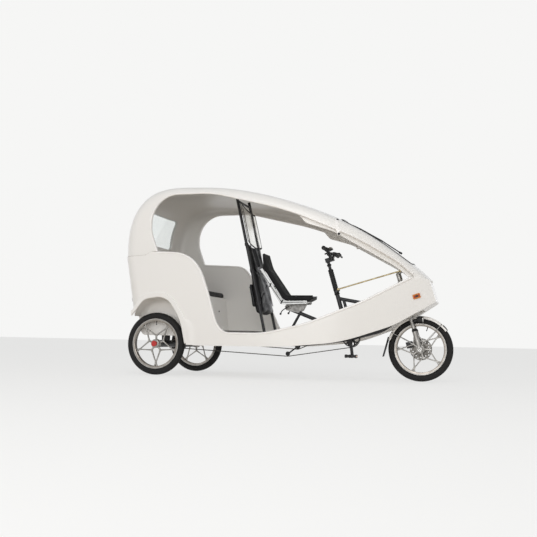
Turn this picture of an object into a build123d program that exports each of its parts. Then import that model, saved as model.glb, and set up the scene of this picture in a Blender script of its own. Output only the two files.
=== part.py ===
from build123d import *
import os
from math import acos, atan2, cos, degrees, hypot, pi, radians, sin, tan

# Cycle rickshaw: two rear wheels, one steered front wheel, a moulded tub with a two-part
# canopy, a passenger bench behind a reclined driver's seat. Millimetres.
# X forward, Y to the left, Z up from the ground, X zero over the rear axle while modelling.

# Wheels and stance
WHEELBASE = 2147.0
TRACK = 880.0
TYRE_R = 260.0
TYRE_W = 55.0
RIM_R = 209.0
RIM_W = 40.0
RIM_DEPTH = 23.0
STAR_POINTS = 5
STAR_INNER_R = 69.0
STAR_CROSS_R = 160.0
ARM_W = 10.0
ARM_T = 16.0
HUB_R = 36.0
HUB_W = 84.0
REAR_HUB_W = 64.0
AXLE_R = 10.0
AXLE_FIT = 0.08
CAP_R = 24.0
CAP_T = 14.0
ROTOR_R = 90.0
ROTOR_T = 3.0
ROTOR_HOLES = 20
ROTOR_HOLE_R = 5.0
DISC_Y = 38.0

# Steering
RAKE = 16.3
STEER_LOCK = 35.0
LEG_Y = 62.0
LEG_R = 14.0
LEG_TOP = 272.0
SLIDER_R = 19.0
SLIDER_TOP = 150.0
CROWN_T = 34.0
STEERER_R = 14.0
HEAD_R = 21.0
HEAD_LOW = 312.0
HEAD_TOP = 578.0
STEERER_TOP = 656.0
RUN_FIT = 0.08
ARM_LEN_U = 30.0
ARM_LEN_Y = -65.0
ARM_THICK = 8.0
FORK_ARM_V = 640.0
ROD_R = 6.0
ROD_DROP = 10.0
MAST_FOOT_X = 1561.0
MAST_FOOT_Z = 340.0
HOUSING_LOW = 20.0
HOUSING_TOP = 372.0
MAST_R = 13.0
HOUSING_R = 18.0
MAST_TOP = 700.0
STEM_REACH = 34.0
STEM_V = 684.0
SLEEVE_LOW = 430.0
SLEEVE_TOP = 600.0
SLEEVE_R = 21.0
BAR_R = 11.1
BAR_HALF = 290.0
BAR_RISE = 60.0
BAR_AHEAD = 12.0
BAR_CLAMP_HALF = 52.0
BAR_BEND_Y = 112.0
GRIP_R = 16.0
GRIP_LEN = 118.0

# Moulded tub
BODY_HALF = 550.0
WALL = 28.0
REAR_TOP_X = -290.0
REAR_LOW_X = -168.0
REAR_CORNER_R = 110.0
SEAM_Z = 985.0
SIDE_TOP_Z = 1024.0
FLOOR_Z = 358.0
FLOOR_T = 28.0
FLOOR_FRONT = 930.0
SKIRT_Z = 252.0
NOSE_TOP_X = 2232.0
NOSE_TIP_X = 2284.0
NOSE_TOP_Z = 812.0
NOSE_TIP_Z = 640.0
WELL_INNER_Y = 385.0
WELL_WALL = 22.0
WELL_FILLET = 45.0
LIP_W = 46.0
LIP_PROUD = 9.0
LIP_REAR_X = -185.0
LIP_ROUND = 8.0

# Canopy
CANOPY_T = 24.0
CANOPY_HALF = 545.0
CANOPY_SPLIT_X = 1538.0
CANOPY_SPLIT_Z = 1215.0
CANOPY_SPLIT_LEAN = 12.0
STRIP_T = 9.0
STRIP_LAP = 2.0
LATCH_W = 24.0
LATCH_T = 5.0
LATCH_LOW_Z = 1146.0
LATCH_TOP_Y = 388.0
LATCH_KNOB_R = 8.0
LATCH_KNOBS = (
    ((1524, 399, 1261), (1533, 411, 1280)),
    ((1552, 418, 1157), (1552, 449, 1157)),
)
PANE_T = 5.0
WINDOW_HALF_LOW = 385.0
WINDOW_HALF_TOP = 335.0
WINDOW_LOW_Z = 1155.0
WINDOW_TOP_Z = 1425.0

# Cabin
BENCH_Z = 697.0
BENCH_FRONT = 262.0
BENCH_T = 20.0
CUSHION_T = 48.0
CUSHION_HALF = 480.0
MAT_T = 6.0
POST_R = 12.5
POST_Y = 170.0
POST_TOP_X = 588.0
POST_TOP_Z = 1556.0
POST_FOOT_X = 872.0
BAG_T = 34.0

# Driver's place
SEAT_HALF = 98.0
RAIL_T = 14.0
SEAT_ROD_R = 8.0
BEAM_R = 16.0

# Drive
BB_X = 1584.0
BB_Z = 340.0
BB_R = 24.0
BB_HALF = 40.0
CRANK_LEN = 150.0
CRANK_Y = 78.0
PEDAL_LEN = 92.0
PEDAL_W = 88.0
PEDAL_T = 22.0
CHAIN_PITCH = 12.7
RING_TEETH = 38
COG_TEETH = 18
IDLER_R = 26.0
CHAIN_Y = -52.0
CHAIN_H = 9.0
CHAIN_W = 7.0
TENSIONER_X = 1044.0
TENSIONER_Z = 197.0
GUIDE_X = 1130.0
GUIDE_Z = 262.0

# Frame
SPINE_R = 25.0
SPINE_Z = 290.0
CROSS_H = 30.0
TUBE_R = 15.0
BOOM_R = 19.0
AXLE_TUBE_R = 30.0

FRONT_X = WHEELBASE + TYRE_R
REAR_X = -302.1
MIDDLE_X = (FRONT_X + REAR_X) / 2


def spot(x, y, z):
    return Vector(x, y, z)


def closed_face(corners, place):
    """Closed outline of (a, b, corner radius), mapped into space by place."""
    points = [place(a, b) for a, b, _ in corners]
    return Face(Wire(FilletPolyline(*points, radius=[r for _, _, r in corners], close=True).edges()))


def side_prism(corners, y_low, y_high):
    face = closed_face(corners, lambda x, z: spot(x, y_low, z))
    return extrude(face, amount=y_high - y_low, dir=(0, 1, 0))


def plan_prism(corners, z_low, z_high):
    face = closed_face(corners, lambda x, y: spot(x, y, z_low))
    return extrude(face, amount=z_high - z_low, dir=(0, 0, 1))


def block(x_low, x_high, y_low, y_high, z_low, z_high):
    size = (x_high - x_low, y_high - y_low, z_high - z_low)
    middle = ((x_low + x_high) / 2, (y_low + y_high) / 2, (z_low + z_high) / 2)
    return Pos(*middle) * Box(*size)


def rod(start, end, radius):
    """Round bar between two points."""
    start, end = Vector(*start), Vector(*end)
    axis = end - start
    plane = Plane(origin=start, z_dir=axis)
    return plane * Cylinder(radius, axis.length, align=(Align.CENTER, Align.CENTER, Align.MIN))


def cross_rod(x, z, radius, y_low, y_high):
    return rod((x, y_low, z), (x, y_high, z), radius)


def bent_tube(points, radii, radius):
    """Round bar along straight runs joined by arcs."""
    path = FilletPolyline(*points, radius=radii)
    section = Plane(origin=path @ 0, z_dir=path % 0) * Circle(radius)
    return sweep(section, path=path)


def turned(points, x, z, y=0.0):
    """Ring turned about a crosswise axis from (radius, offset) points."""
    corners = [spot(x + radius, y + offset, z) for radius, offset in points]
    face = Face(Wire(Polyline(*corners, close=True).edges()))
    return revolve(face, axis=Axis((x, 0, z), (0, 1, 0)))


def both_sides(solid):
    return solid + mirror(solid, about=Plane.XZ)


def raked(local):
    """Stand a piece built about the vertical on the fork's axis through the front axle."""
    return Pos(WHEELBASE, 0, TYRE_R) * Rot(0, -RAKE, 0) * local


def on_mast(local):
    return Pos(MAST_FOOT_X, 0, MAST_FOOT_Z) * Rot(0, -RAKE, 0) * local


def mast_point(u, y, v):
    """World point at u ahead of, y beside and v along the mast's axis."""
    c, s = cos(radians(RAKE)), sin(radians(RAKE))
    return (MAST_FOOT_X + u * c - v * s, y, MAST_FOOT_Z + u * s + v * c)


def fork_point(u, y, v):
    c, s = cos(radians(RAKE)), sin(radians(RAKE))
    return (WHEELBASE + u * c - v * s, y, TYRE_R + u * s + v * c)


# Tub

def plan_outline(inset):
    """Half-width of the tub from above: parallel sides that draw in to the nose."""
    half = BODY_HALF - inset
    side = [
        (REAR_TOP_X - 100, half, 0),
        (900, half, 3000),
        (1500, half - 75, 2000),
        (2000, half - 250, 2400),
        (NOSE_TIP_X + 60, half - 411, 0),
    ]
    return side + [(x, -y, r) for x, y, r in reversed(side)]


def well_profile(grow=0.0):
    """Wheel arch from the side, open to the rear and to the ground."""
    arch = [
        (-420, 200, 0),
        (-420, 530 + grow, 0),
        (-178, 535 + grow, 0),
        (-95 - grow * 0.5, 672 + grow, 150 + grow),
        (150 + grow * 0.5, 700 + grow, 190 + grow),
        (300 + grow * 0.9, 480 + grow * 0.3, 350),
        (365 + grow, 200, 0),
    ]
    return arch


def tub_outer():
    band = [
        (REAR_TOP_X, SEAM_Z, 0),
        (-72, SEAM_Z + 13, 12),
        (-25, SIDE_TOP_Z + 4, 12),
        (440, SIDE_TOP_Z - 20, 150),
        (735, 560, 300),
        (830, FLOOR_Z + 4, 60),
        (960, FLOOR_Z + 4, 700),
        (1300, 445, 1200),
        (1717, 622, 1800),
        (2090, 828, 110),
        (NOSE_TOP_X, NOSE_TOP_Z, 14),
        (NOSE_TIP_X, NOSE_TIP_Z, 14),
        (1975, 447, 800),
        (1560, 300, 1200),
        (1100, 257, 1500),
        (368, SKIRT_Z, 14),
        (368, FLOOR_Z - FLOOR_T, 0),
        (REAR_LOW_X, FLOOR_Z - FLOOR_T, 50),
    ]
    solid = side_prism(band, -BODY_HALF, BODY_HALF)
    rear = [e for e in solid.edges() if e.center().X < -200 and abs(e.center().Z - 657) < 120
            and abs(abs(e.center().Y) - BODY_HALF) < 1]
    solid = fillet(rear, REAR_CORNER_R)
    return solid & plan_prism(plan_outline(0), 100, 1200)


def tub_hollow():
    """Cabin over the floor, the open underside ahead of it and the inside of the nose."""
    hollow = [
        (REAR_TOP_X + WALL, 1250, 0),
        (REAR_TOP_X + WALL, SEAM_Z, 0),
        (REAR_LOW_X + WALL, FLOOR_Z, 40),
        (FLOOR_FRONT, FLOOR_Z, 0),
        (FLOOR_FRONT, FLOOR_Z - FLOOR_T, 0),
        (340, FLOOR_Z - FLOOR_T, 0),
        (340, 150, 0),
        (2070, 150, 0),
        (2070, 537, 0),
        (2262, 657, 30),
        (2210, 786, 30),
        (2092, 792, 0),
        (2086, 1250, 0),
    ]
    solid = side_prism(hollow, -BODY_HALF, BODY_HALF)
    rear = [e for e in solid.edges() if e.center().X < -180 and e.center().Z > 400
            and e.center().Z < 1240 and abs(abs(e.center().Y) - BODY_HALF) < 1]
    solid = fillet(rear, REAR_CORNER_R - WALL)
    return solid & plan_prism(plan_outline(WALL), 100, 1300)


def wheelhouses():
    """Outer form of both wheel wells, as seen from inside the cabin."""
    return both_sides(side_prism(well_profile(WELL_WALL - LIP_W), WELL_INNER_Y - WELL_WALL, BODY_HALF + 40))


def make_arch_bead():
    """Rounded bead round the left wheel arch, between the opening and the arch's full profile."""
    band = side_prism(well_profile(), BODY_HALF - 2, BODY_HALF + LIP_PROUD)
    band -= side_prism(well_profile(-LIP_W), BODY_HALF - 10, BODY_HALF + 40)
    band = band & block(LIP_REAR_X, 420, BODY_HALF - 5, BODY_HALF + 30, SKIRT_Z + 14, 800)
    rims = [e for e in band.edges() if abs(e.center().Y - BODY_HALF - LIP_PROUD) < 0.5
            and e.length > LIP_W - 10 and e.center().X > LIP_REAR_X + 2]
    return fillet(rims, LIP_ROUND)


def make_tub():
    well = side_prism(well_profile(-LIP_W), WELL_INNER_Y, BODY_HALF + 40)
    inner_edges = [e for e in well.edges() if abs(e.center().Y - WELL_INNER_Y) < 1
                   and e.center().X > -170 and e.center().Z > 210]
    well = fillet(inner_edges, WELL_FILLET)
    tub = tub_outer() - (tub_hollow() - wheelhouses())
    tub -= both_sides(well)
    entry = [
        (40, 1300, 0),
        (40, SIDE_TOP_Z + 1, 0),
        (289, SIDE_TOP_Z - 11, 130),
        (575, FLOOR_Z + 4, 90),
        (1000, FLOOR_Z + 4, 0),
        (1000, 1300, 0),
    ]
    tub -= side_prism(entry, -BODY_HALF - 10, 0)
    tub += both_sides(make_arch_bead())
    tub -= block(2040, 2178, -140, 140, 470, 600)
    return tub


# Canopy: a channel whose section rides along the roof line from the rear wall to the nose

# x, z of the shoulder line, direction of travel, half-width, flange depth, corner radius, crown
ROOF_STATIONS = [
    (-287, 984, 90, CANOPY_HALF, 310, 112, 3),
    (-287, 1040, 90, CANOPY_HALF, 310, 112, 10),
    (-282, 1185, 79, CANOPY_HALF - 2, 310, 112, 18),
    (-232, 1357, 59, CANOPY_HALF - 4, 270, 110, 28),
    (-110, 1505, 38, CANOPY_HALF - 6, 200, 108, 34),
    (90, 1577, 9, CANOPY_HALF - 8, 140, 106, 36),
    (380, 1578, -4, CANOPY_HALF - 9, 130, 106, 36),
    (712, 1545, -9, CANOPY_HALF - 12, 135, 106, 36),
    (1057, 1463, -16, CANOPY_HALF - 28, 145, 102, 34),
    (1388, 1348, -22, CANOPY_HALF - 62, 154, 96, 32),
    (1705, 1198, -29, CANOPY_HALF - 138, 162, 88, 28),
    (2011, 992, -38, CANOPY_HALF - 252, 150, 76, 22),
    (2235, 806, -41, CANOPY_HALF - 353, 110, 60, 14),
]

SIDE_OPENING = [
    (24, 700, 0),
    (24, 1010, 0),
    (-38, 1195, 260),
    (-38, 1508, 236),
    (500, 1508, 900),
    (1143, 1352, 2400),
    (1700, 1118, 1700),
    (1990, 948, 600),
    (2117, 837, 0),
    (2117, 700, 0),
]

# Lower edge of the strip inside the front arch, which runs on behind the split as a tongue
STRIP_EDGE = [
    (1215, 1330, 0),
    (1285, 1250, 60),
    (1500, 1183, 400),
    (1640, 1103, 600),
    (1990, 905, 600),
    (2117, 790, 0),
    (2117, 600, 0),
    (1215, 600, 0),
]


# Plan of what the strip leaves free under the roof
STRIP_CORE = [
    (1000, -468, 0),
    (1388, -428, 0),
    (1705, -352, 0),
    (2011, -238, 0),
    (2300, -110, 0),
    (2300, 110, 0),
    (2011, 238, 0),
    (1705, 352, 0),
    (1388, 428, 0),
    (1000, 468, 0),
]


def station_plane(x, z, slope):
    """Plane square to the roof line, its second axis pointing out of the roof."""
    run = (cos(radians(slope)), 0, sin(radians(slope)))
    return Plane(origin=(x, 0, z), x_dir=(0, 1, 0), z_dir=run)


def channel(station, low, high):
    """Closed section between depths low and high under the skin, as a U of lines and arcs."""
    x, z, slope, half, depth, corner, crown = station
    frame = station_plane(x, z, slope)

    def at(u, v):
        return frame.from_local_coords((u, v, 0))

    def half_line(inset):
        side = half - inset
        round_r = corner - inset
        bend = round_r * sin(radians(45))
        return [
            Line(at(-side, -depth), at(-side, -corner)),
            ThreePointArc(at(-side, -corner), at(-side + round_r - bend, -corner + bend),
                          at(-side + round_r, -inset)),
            ThreePointArc(at(-side + round_r, -inset), at(0, crown - inset), at(side - round_r, -inset)),
            ThreePointArc(at(side - round_r, -inset), at(side - round_r + bend, -corner + bend),
                          at(side, -corner)),
            Line(at(side, -corner), at(side, -depth)),
        ]

    outer = half_line(low)
    inner = half_line(high)
    foot_left = Line(at(-half + low, -depth), at(-half + high, -depth))
    foot_right = Line(at(half - low, -depth), at(half - high, -depth))
    edges = outer + inner + [foot_left, foot_right]
    return Face(Wire([edge for curve in edges for edge in curve.edges()]))


def pane_section(station):
    """Thin closed strip in the middle of the crown, for the windscreen."""
    x, z, slope, half, depth, corner, crown = station
    frame = station_plane(x, z, slope)
    side = half - corner
    top, low = -8.0, -8.0 - PANE_T

    def at(u, v):
        return frame.from_local_coords((u, v, 0))

    edges = [
        ThreePointArc(at(-side, top), at(0, crown + top), at(side, top)),
        Line(at(side, top), at(side, low)),
        ThreePointArc(at(side, low), at(0, crown + low), at(-side, low)),
        Line(at(-side, low), at(-side, top)),
    ]
    return Face(Wire([edge for curve in edges for edge in curve.edges()]))


def canopy_layer(low, high):
    """Full-length channel between two depths under the skin."""
    return loft([channel(station, low, high) for station in reversed(ROOF_STATIONS)])


def across_roof(x, z, slope, reach):
    """Half-space block ahead of a plane square to the roof line."""
    return Pos(x, 0, z) * Rot(0, -slope, 0) * Pos(reach / 2, 0, 0) * Box(reach, 1600, 1600)


def screen_opening(grow):
    corners = [
        (1545 - grow, -330 - grow, 50),
        (2090 + grow, -150 - grow, 50),
        (2090 + grow, 150 + grow, 50),
        (1545 - grow, 330 + grow, 50),
    ]
    return plan_prism(corners, 860, 1500)


def window_opening(grow):
    corners = [
        (-WINDOW_HALF_LOW - grow, WINDOW_LOW_Z - grow, 45),
        (WINDOW_HALF_LOW + grow, WINDOW_LOW_Z - grow, 45),
        (WINDOW_HALF_TOP + grow, WINDOW_TOP_Z + grow, 45),
        (-WINDOW_HALF_TOP - grow, WINDOW_TOP_Z + grow, 45),
    ]
    face = closed_face(corners, lambda y, z: spot(-420, y, z))
    return extrude(face, amount=330, dir=(1, 0, 0))


def ahead_of_split(shift):
    """Everything ahead of the joint between the two canopy parts."""
    return across_roof(CANOPY_SPLIT_X + shift, CANOPY_SPLIT_Z, CANOPY_SPLIT_LEAN, 1500)


def make_canopy(outer):
    shell = canopy_layer(0, CANOPY_T) - side_prism(SIDE_OPENING, -BODY_HALF - 50, BODY_HALF + 50) - outer
    pane_all = loft([pane_section(s) for s in reversed(ROOF_STATIONS[9:])])
    screen = pane_all & screen_opening(14)
    glass_all = loft([pane_section(s) for s in reversed(ROOF_STATIONS[1:6])])
    window = glass_all & window_opening(14)
    front = (shell & ahead_of_split(0)) - screen_opening(0) - screen
    rear = (shell - ahead_of_split(0)) - window_opening(0) - window
    strip = canopy_layer(CANOPY_T - STRIP_LAP, CANOPY_T + STRIP_T) & across_roof(1240, 1323, 0, 1500)
    strip -= side_prism(STRIP_EDGE, -BODY_HALF, BODY_HALF)
    strip -= plan_prism(STRIP_CORE, 700, 1700)
    front += strip - outer - rear
    return rear, front, screen, window


# Cabin pieces

def make_bench():
    profile = [
        (REAR_TOP_X + 2 * WALL + 20, BENCH_Z, 0),
        (BENCH_FRONT, BENCH_Z, 14),
        (BENCH_FRONT + 30, FLOOR_Z, 0),
        (BENCH_FRONT + 30 - BENCH_T, FLOOR_Z, 0),
        (BENCH_FRONT - BENCH_T, BENCH_Z - BENCH_T, 8),
        (REAR_TOP_X + 2 * WALL + 20, BENCH_Z - BENCH_T, 0),
    ]
    inner = BODY_HALF - WALL
    bench = side_prism(profile, -inner, inner)
    return (bench & tub_hollow()) - wheelhouses()


def make_cushion():
    back = REAR_TOP_X + 2 * WALL + 30
    seat = plan_prism(
        [(back, -CUSHION_HALF, 20), (BENCH_FRONT + 2, -CUSHION_HALF, 60),
         (BENCH_FRONT + 2, CUSHION_HALF, 60), (back, CUSHION_HALF, 20)],
        BENCH_Z, BENCH_Z + CUSHION_T)
    seat = fillet([e for e in seat.edges() if e.center().Z > BENCH_Z + CUSHION_T - 1], 16)
    return (seat & tub_hollow()) - wheelhouses()


def make_backrest():
    low = BENCH_Z + CUSHION_T + 1
    profile = [
        (-222, low, 14),
        (-142, low, 20),
        (-176, 948, 24),
        (-225, 948, 14),
        (-262, 900, 60),
    ]
    return side_prism(profile, -CUSHION_HALF + 20, CUSHION_HALF - 20) & tub_hollow()


def make_posts(canopy):
    posts = [rod((POST_TOP_X, y, POST_TOP_Z), (POST_FOOT_X, y, FLOOR_Z), POST_R) for y in (-POST_Y, POST_Y)]
    low_bar = post_point(0.52)
    high_bar = post_point(0.04)
    solid = posts[0] + posts[1]
    for bar in (low_bar, high_bar):
        solid += rod((bar[0], -POST_Y, bar[1]), (bar[0], POST_Y, bar[1]), POST_R * 0.7)
    solid -= canopy
    return solid & block(0, 2000, -400, 400, FLOOR_Z, 1700)


def post_point(share):
    """Point on the posts' line, as a share of the way down."""
    return (POST_TOP_X + (POST_FOOT_X - POST_TOP_X) * share, POST_TOP_Z + (FLOOR_Z - POST_TOP_Z) * share)


def between_posts(top, bottom, thick, back, inset):
    """Slab across the posts' line from one share of its length to another."""
    lean = atan2(POST_FOOT_X - POST_TOP_X, POST_TOP_Z - FLOOR_Z)
    (x0, z0), (x1, z1) = post_point(top), post_point(bottom)
    length = hypot(x1 - x0, z1 - z0)
    slab = Box(thick, 2 * (POST_Y - inset), length, align=(Align.CENTER, Align.CENTER, Align.MAX))
    return Pos(x0, 0, z0) * Rot(0, -degrees(lean), 0) * Pos(-back, 0, 0) * slab


# Driver's seat

def make_seat_rails():
    rail = [
        (790, 913, 4),
        (814, 925, 4),
        (1003, 642, 16),
        (1215, 646, 4),
        (1208, 621, 4),
        (985, 612, 34),
    ]
    solid = both_sides(side_prism(rail, SEAT_HALF - RAIL_T, SEAT_HALF))
    for x, z in ((1060, 639), (1190, 639), (913, 768)):
        solid += cross_rod(x, z, SEAT_ROD_R, -SEAT_HALF + 2, SEAT_HALF - 2)
    return solid - make_seat_pad()


def make_seat_pad():
    pad = [
        (800, 1060, 8),
        (832, 1066, 12),
        (862, 936, 200),
        (1034, 692, 50),
        (1262, 692, 14),
        (1277, 666, 10),
        (1232, 644, 8),
        (1004, 644, 40),
        (812, 926, 80),
    ]
    return side_prism(pad, RAIL_T - SEAT_HALF, SEAT_HALF - RAIL_T)


def make_seat_slider():
    plate = [
        (1000, 600, 6),
        (1040, 637, 0),
        (1198, 637, 6),
        (1160, 566, 10),
        (1122, 546, 8),
        (1012, 568, 8),
    ]
    return side_prism(plate, -24, 24) - make_front_frame() - make_seat_rails()


# Frame

def make_front_frame():
    spine = rod((-20, 0, SPINE_Z), (950, 0, SPINE_Z), SPINE_R)
    spine += bent_tube([(940, 0, SPINE_Z), (1200, 0, SPINE_Z), (BB_X, 0, BB_Z)], [400], SPINE_R)
    frame = spine
    for x in (430, 880):
        frame += block(x - 15, x + 15, -500, 500, FLOOR_Z - FLOOR_T - CROSS_H, FLOOR_Z - FLOOR_T)
    frame += cross_rod(BB_X, BB_Z, BB_R, -BB_HALF, BB_HALF)
    frame += rod(mast_point(0, 0, 0), mast_point(0, 0, HOUSING_TOP), HOUSING_R)
    frame += rod(mast_point(44, 0, 20), mast_point(40, 0, 330), TUBE_R * 0.85)
    v_joint = (1672, 0, 634)
    frame += rod(mast_point(0, 0, 345), v_joint, TUBE_R)
    frame += rod(v_joint, fork_point(0, 0, HEAD_TOP - 40), TUBE_R)
    frame += Pos(*v_joint) * Sphere(TUBE_R)
    frame += bent_tube([(BB_X, 0, BB_Z), (1850, 0, 412), fork_point(0, 0, HEAD_LOW + 30)], [300], BOOM_R)
    frame += raked(Pos(0, 0, (HEAD_LOW + HEAD_TOP) / 2) * Cylinder(HEAD_R, HEAD_TOP - HEAD_LOW))
    frame += rod((1010, 0, 590), (BB_X - 6, 0, 372), BEAM_R)
    frame += rod((1131, 0, 540), (1000, 0, 300), BEAM_R * 0.7)
    frame -= raked(Pos(0, 0, 450) * Cylinder(STEERER_R + RUN_FIT, 500))
    frame -= on_mast(Pos(0, 0, HOUSING_LOW + 300) * Cylinder(MAST_R + RUN_FIT, 600))
    frame -= cross_rod(BB_X, BB_Z, AXLE_R + RUN_FIT, -BB_HALF - 5, BB_HALF + 5)
    return frame


def make_rear_axle():
    inner = TRACK / 2 - REAR_HUB_W / 2 - 6
    axle = cross_rod(0, TYRE_R, AXLE_TUBE_R, -inner, inner)
    axle += cross_rod(0, TYRE_R, 62, -10, 70)
    stub = TRACK / 2 + REAR_HUB_W / 2 - 2
    axle += cross_rod(0, TYRE_R, AXLE_R, -stub, stub)
    for y in (-250, 250):
        axle += block(-30, 30, y - 20, y + 20, TYRE_R, FLOOR_Z - FLOOR_T)
        axle += rod((0, y, TYRE_R), (411, y, FLOOR_Z - FLOOR_T - 18), 14)
    axle -= rod((-40, 0, SPINE_Z), (950, 0, SPINE_Z), SPINE_R)
    return axle


# Wheels

def tyre():
    ring = turned_circle(TYRE_R - TYRE_W / 2, TYRE_W / 2)
    return ring - Rot(90, 0, 0) * Cylinder(RIM_R, TYRE_W + 10)


def turned_circle(major, minor):
    face = Plane.XY * Pos(major, 0, 0) * Circle(minor)
    return revolve(face, axis=Axis((0, 0, 0), (0, 1, 0)))


def rim(hub_width, turn):
    half = RIM_W / 2
    inner = RIM_R - RIM_DEPTH
    section = [(RIM_R, -half), (RIM_R, half), (inner + 4, half), (inner, half - 5), (inner + 7, 6),
               (inner + 7, -6), (inner, -half + 5), (inner + 4, -half)]
    wheel = turned(section, 0, 0)
    foot = inner + 5
    cross_angle = degrees((pi / STAR_POINTS))
    for k in range(STAR_POINTS):
        for side in (-1, 1):
            middle = radians(turn + 360 / STAR_POINTS * k)
            vertex = middle + side * radians(cross_angle)
            start = Vector(STAR_INNER_R * cos(vertex), 0, STAR_INNER_R * sin(vertex))
            cross = Vector(STAR_CROSS_R * cos(middle), 0, STAR_CROSS_R * sin(middle))
            along = (cross - start).normalized()
            reach = (foot - STAR_CROSS_R) * 1.04
            end = cross + along * reach
            wheel += flat_bar(start, end, ARM_W, ARM_T)
        spoke = radians(turn + 360 / STAR_POINTS * (k + 0.5))
        end = Vector((STAR_INNER_R + 3) * cos(spoke), 0, (STAR_INNER_R + 3) * sin(spoke))
        wheel += flat_bar(Vector(0, 0, 0), end, ARM_W * 1.4, ARM_T)
    wheel += Rot(90, 0, 0) * Cylinder(HUB_R, hub_width)
    wheel -= Rot(90, 0, 0) * Cylinder(AXLE_R + AXLE_FIT, hub_width + 10)
    return wheel


def flat_bar(start, end, width, thick):
    """Bar in the wheel's plane from one point to another."""
    run = end - start
    angle = degrees(atan2(run.Z, run.X))
    bar = Box(run.length, thick, width, align=(Align.MIN, Align.CENTER, Align.CENTER))
    return Pos(start.X, start.Y, start.Z) * Rot(0, -angle, 0) * bar


def brake_disc():
    disc = Rot(90, 0, 0) * (Cylinder(ROTOR_R, ROTOR_T) - Cylinder(HUB_R, ROTOR_T + 2))
    for k in range(ROTOR_HOLES):
        turn = 2 * pi * k / ROTOR_HOLES
        radius = ROTOR_R - 12 - 12 * (k % 2)
        disc -= cross_rod(radius * cos(turn), radius * sin(turn), ROTOR_HOLE_R, -5, 5)
    return disc


# Fork and what it carries

def make_fork():
    fork = None
    for y in (-LEG_Y, LEG_Y):
        leg = Pos(0, y, LEG_TOP / 2) * Cylinder(LEG_R, LEG_TOP)
        leg += Pos(0, y, SLIDER_TOP / 2 - 16) * Cylinder(SLIDER_R, SLIDER_TOP + 32)
        fork = leg if fork is None else fork + leg
    crown = Pos(0, 0, LEG_TOP + CROWN_T / 2) * Box(46, 2 * (LEG_Y + LEG_R + 6), CROWN_T)
    fork += crown
    top = STEERER_TOP
    fork += Pos(0, 0, (LEG_TOP + top) / 2) * Cylinder(STEERER_R, top - LEG_TOP)
    fork += Rot(90, 0, 0) * Cylinder(AXLE_R, 2 * LEG_Y)
    arm_len = hypot(ARM_LEN_U, ARM_LEN_Y)
    turn = degrees(atan2(ARM_LEN_Y, ARM_LEN_U))
    arm = Pos(arm_len / 2, 0, 0) * Box(arm_len + 18, 22, ARM_THICK)
    fork += Pos(0, 0, FORK_ARM_V) * Rot(0, 0, turn) * arm
    fork += Pos(0, 0, (HEAD_TOP + FORK_ARM_V) / 2 + 6) * Cylinder(STEERER_R + 7, FORK_ARM_V - HEAD_TOP)
    return raked(fork)


def make_mudguard():
    outer, inner, half = TYRE_R + 10, TYRE_R + 7, 36
    ring = turned([(outer, -half + 12), (outer, half - 12), (outer - 8, half), (outer - 22, half + 2),
                   (inner - 20, half - 2), (inner - 7, half - 5), (inner, half - 13), (inner, -half + 13),
                   (inner - 7, -half + 5), (inner - 20, -half + 2), (outer - 22, -half - 2),
                   (outer - 8, -half)], WHEELBASE, TYRE_R)
    wedge_face = closed_face(
        [(WHEELBASE, TYRE_R, 0), (WHEELBASE + 420 * cos(radians(36)), TYRE_R + 420 * sin(radians(36)), 0),
         (WHEELBASE, TYRE_R + 520, 0), (WHEELBASE - 500, TYRE_R + 400, 0),
         (WHEELBASE + 420 * cos(radians(164)), TYRE_R + 420 * sin(radians(164)), 0)],
        lambda x, z: spot(x, -60, z))
    guard = ring & extrude(wedge_face, amount=120, dir=(0, 1, 0))
    strut = raked(Pos(0, 0, LEG_TOP - 2) * Box(30, 24, 4))
    return guard + strut


def make_headlamp():
    lamp = Rot(0, 90, 0) * Cylinder(24, 34)
    lamp += Rot(0, 90, 0) * Pos(0, 0, -26) * Cone(14, 24, 18)
    placed = Pos(78, -LEG_Y - 8, 230) * Rot(0, RAKE, 0) * lamp
    placed += Pos(36, -LEG_Y - 8, 230) * Box(56, 12, 14)
    placed -= Pos(0, -LEG_Y, 200) * Cylinder(LEG_R, 200)
    return raked(placed)


def make_caliper():
    body = Pos(-78, 40, 58) * Box(52, 32, 52)
    body -= Pos(0, DISC_Y, 0) * Rot(90, 0, 0) * Cylinder(ROTOR_R + 6, ROTOR_T + 10)
    body += Pos(-34, 52, 52) * Box(36, 8, 30)
    body -= Pos(0, LEG_Y, 40) * Cylinder(SLIDER_R, 240)
    return raked(body)


# Mast and handlebar

def make_mast():
    mast = Pos(0, 0, (HOUSING_LOW + 10 + MAST_TOP) / 2) * Cylinder(MAST_R, MAST_TOP - HOUSING_LOW - 10)
    arm_v = link_mast_v()
    arm_len = hypot(ARM_LEN_U, ARM_LEN_Y)
    turn = degrees(atan2(ARM_LEN_Y, ARM_LEN_U))
    arm = Pos(arm_len / 2, 0, 0) * Box(arm_len + 18, 22, ARM_THICK)
    mast += Pos(0, 0, arm_v) * Rot(0, 0, turn) * arm
    mast += Pos(0, 0, arm_v - ARM_THICK / 2 + 8) * Cylinder(MAST_R + 8, 26)
    mast += Pos(STEM_REACH / 2, 0, STEM_V) * Box(STEM_REACH + 38, 44, 34)
    mast -= Pos(STEM_REACH, 0, STEM_V) * Rot(90, 0, 0) * Cylinder(BAR_R, 60)
    return on_mast(mast)


def link_mast_v():
    """Height of the mast's arm where the link lies square to both steering axes."""
    c, s = cos(radians(RAKE)), sin(radians(RAKE))
    dx, dz = WHEELBASE - MAST_FOOT_X, TYRE_R - MAST_FOOT_Z
    return FORK_ARM_V + (-dx * s + dz * c)


def axis_gap():
    c, s = cos(radians(RAKE)), sin(radians(RAKE))
    dx, dz = WHEELBASE - MAST_FOOT_X, TYRE_R - MAST_FOOT_Z
    return dx * c + dz * s


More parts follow.
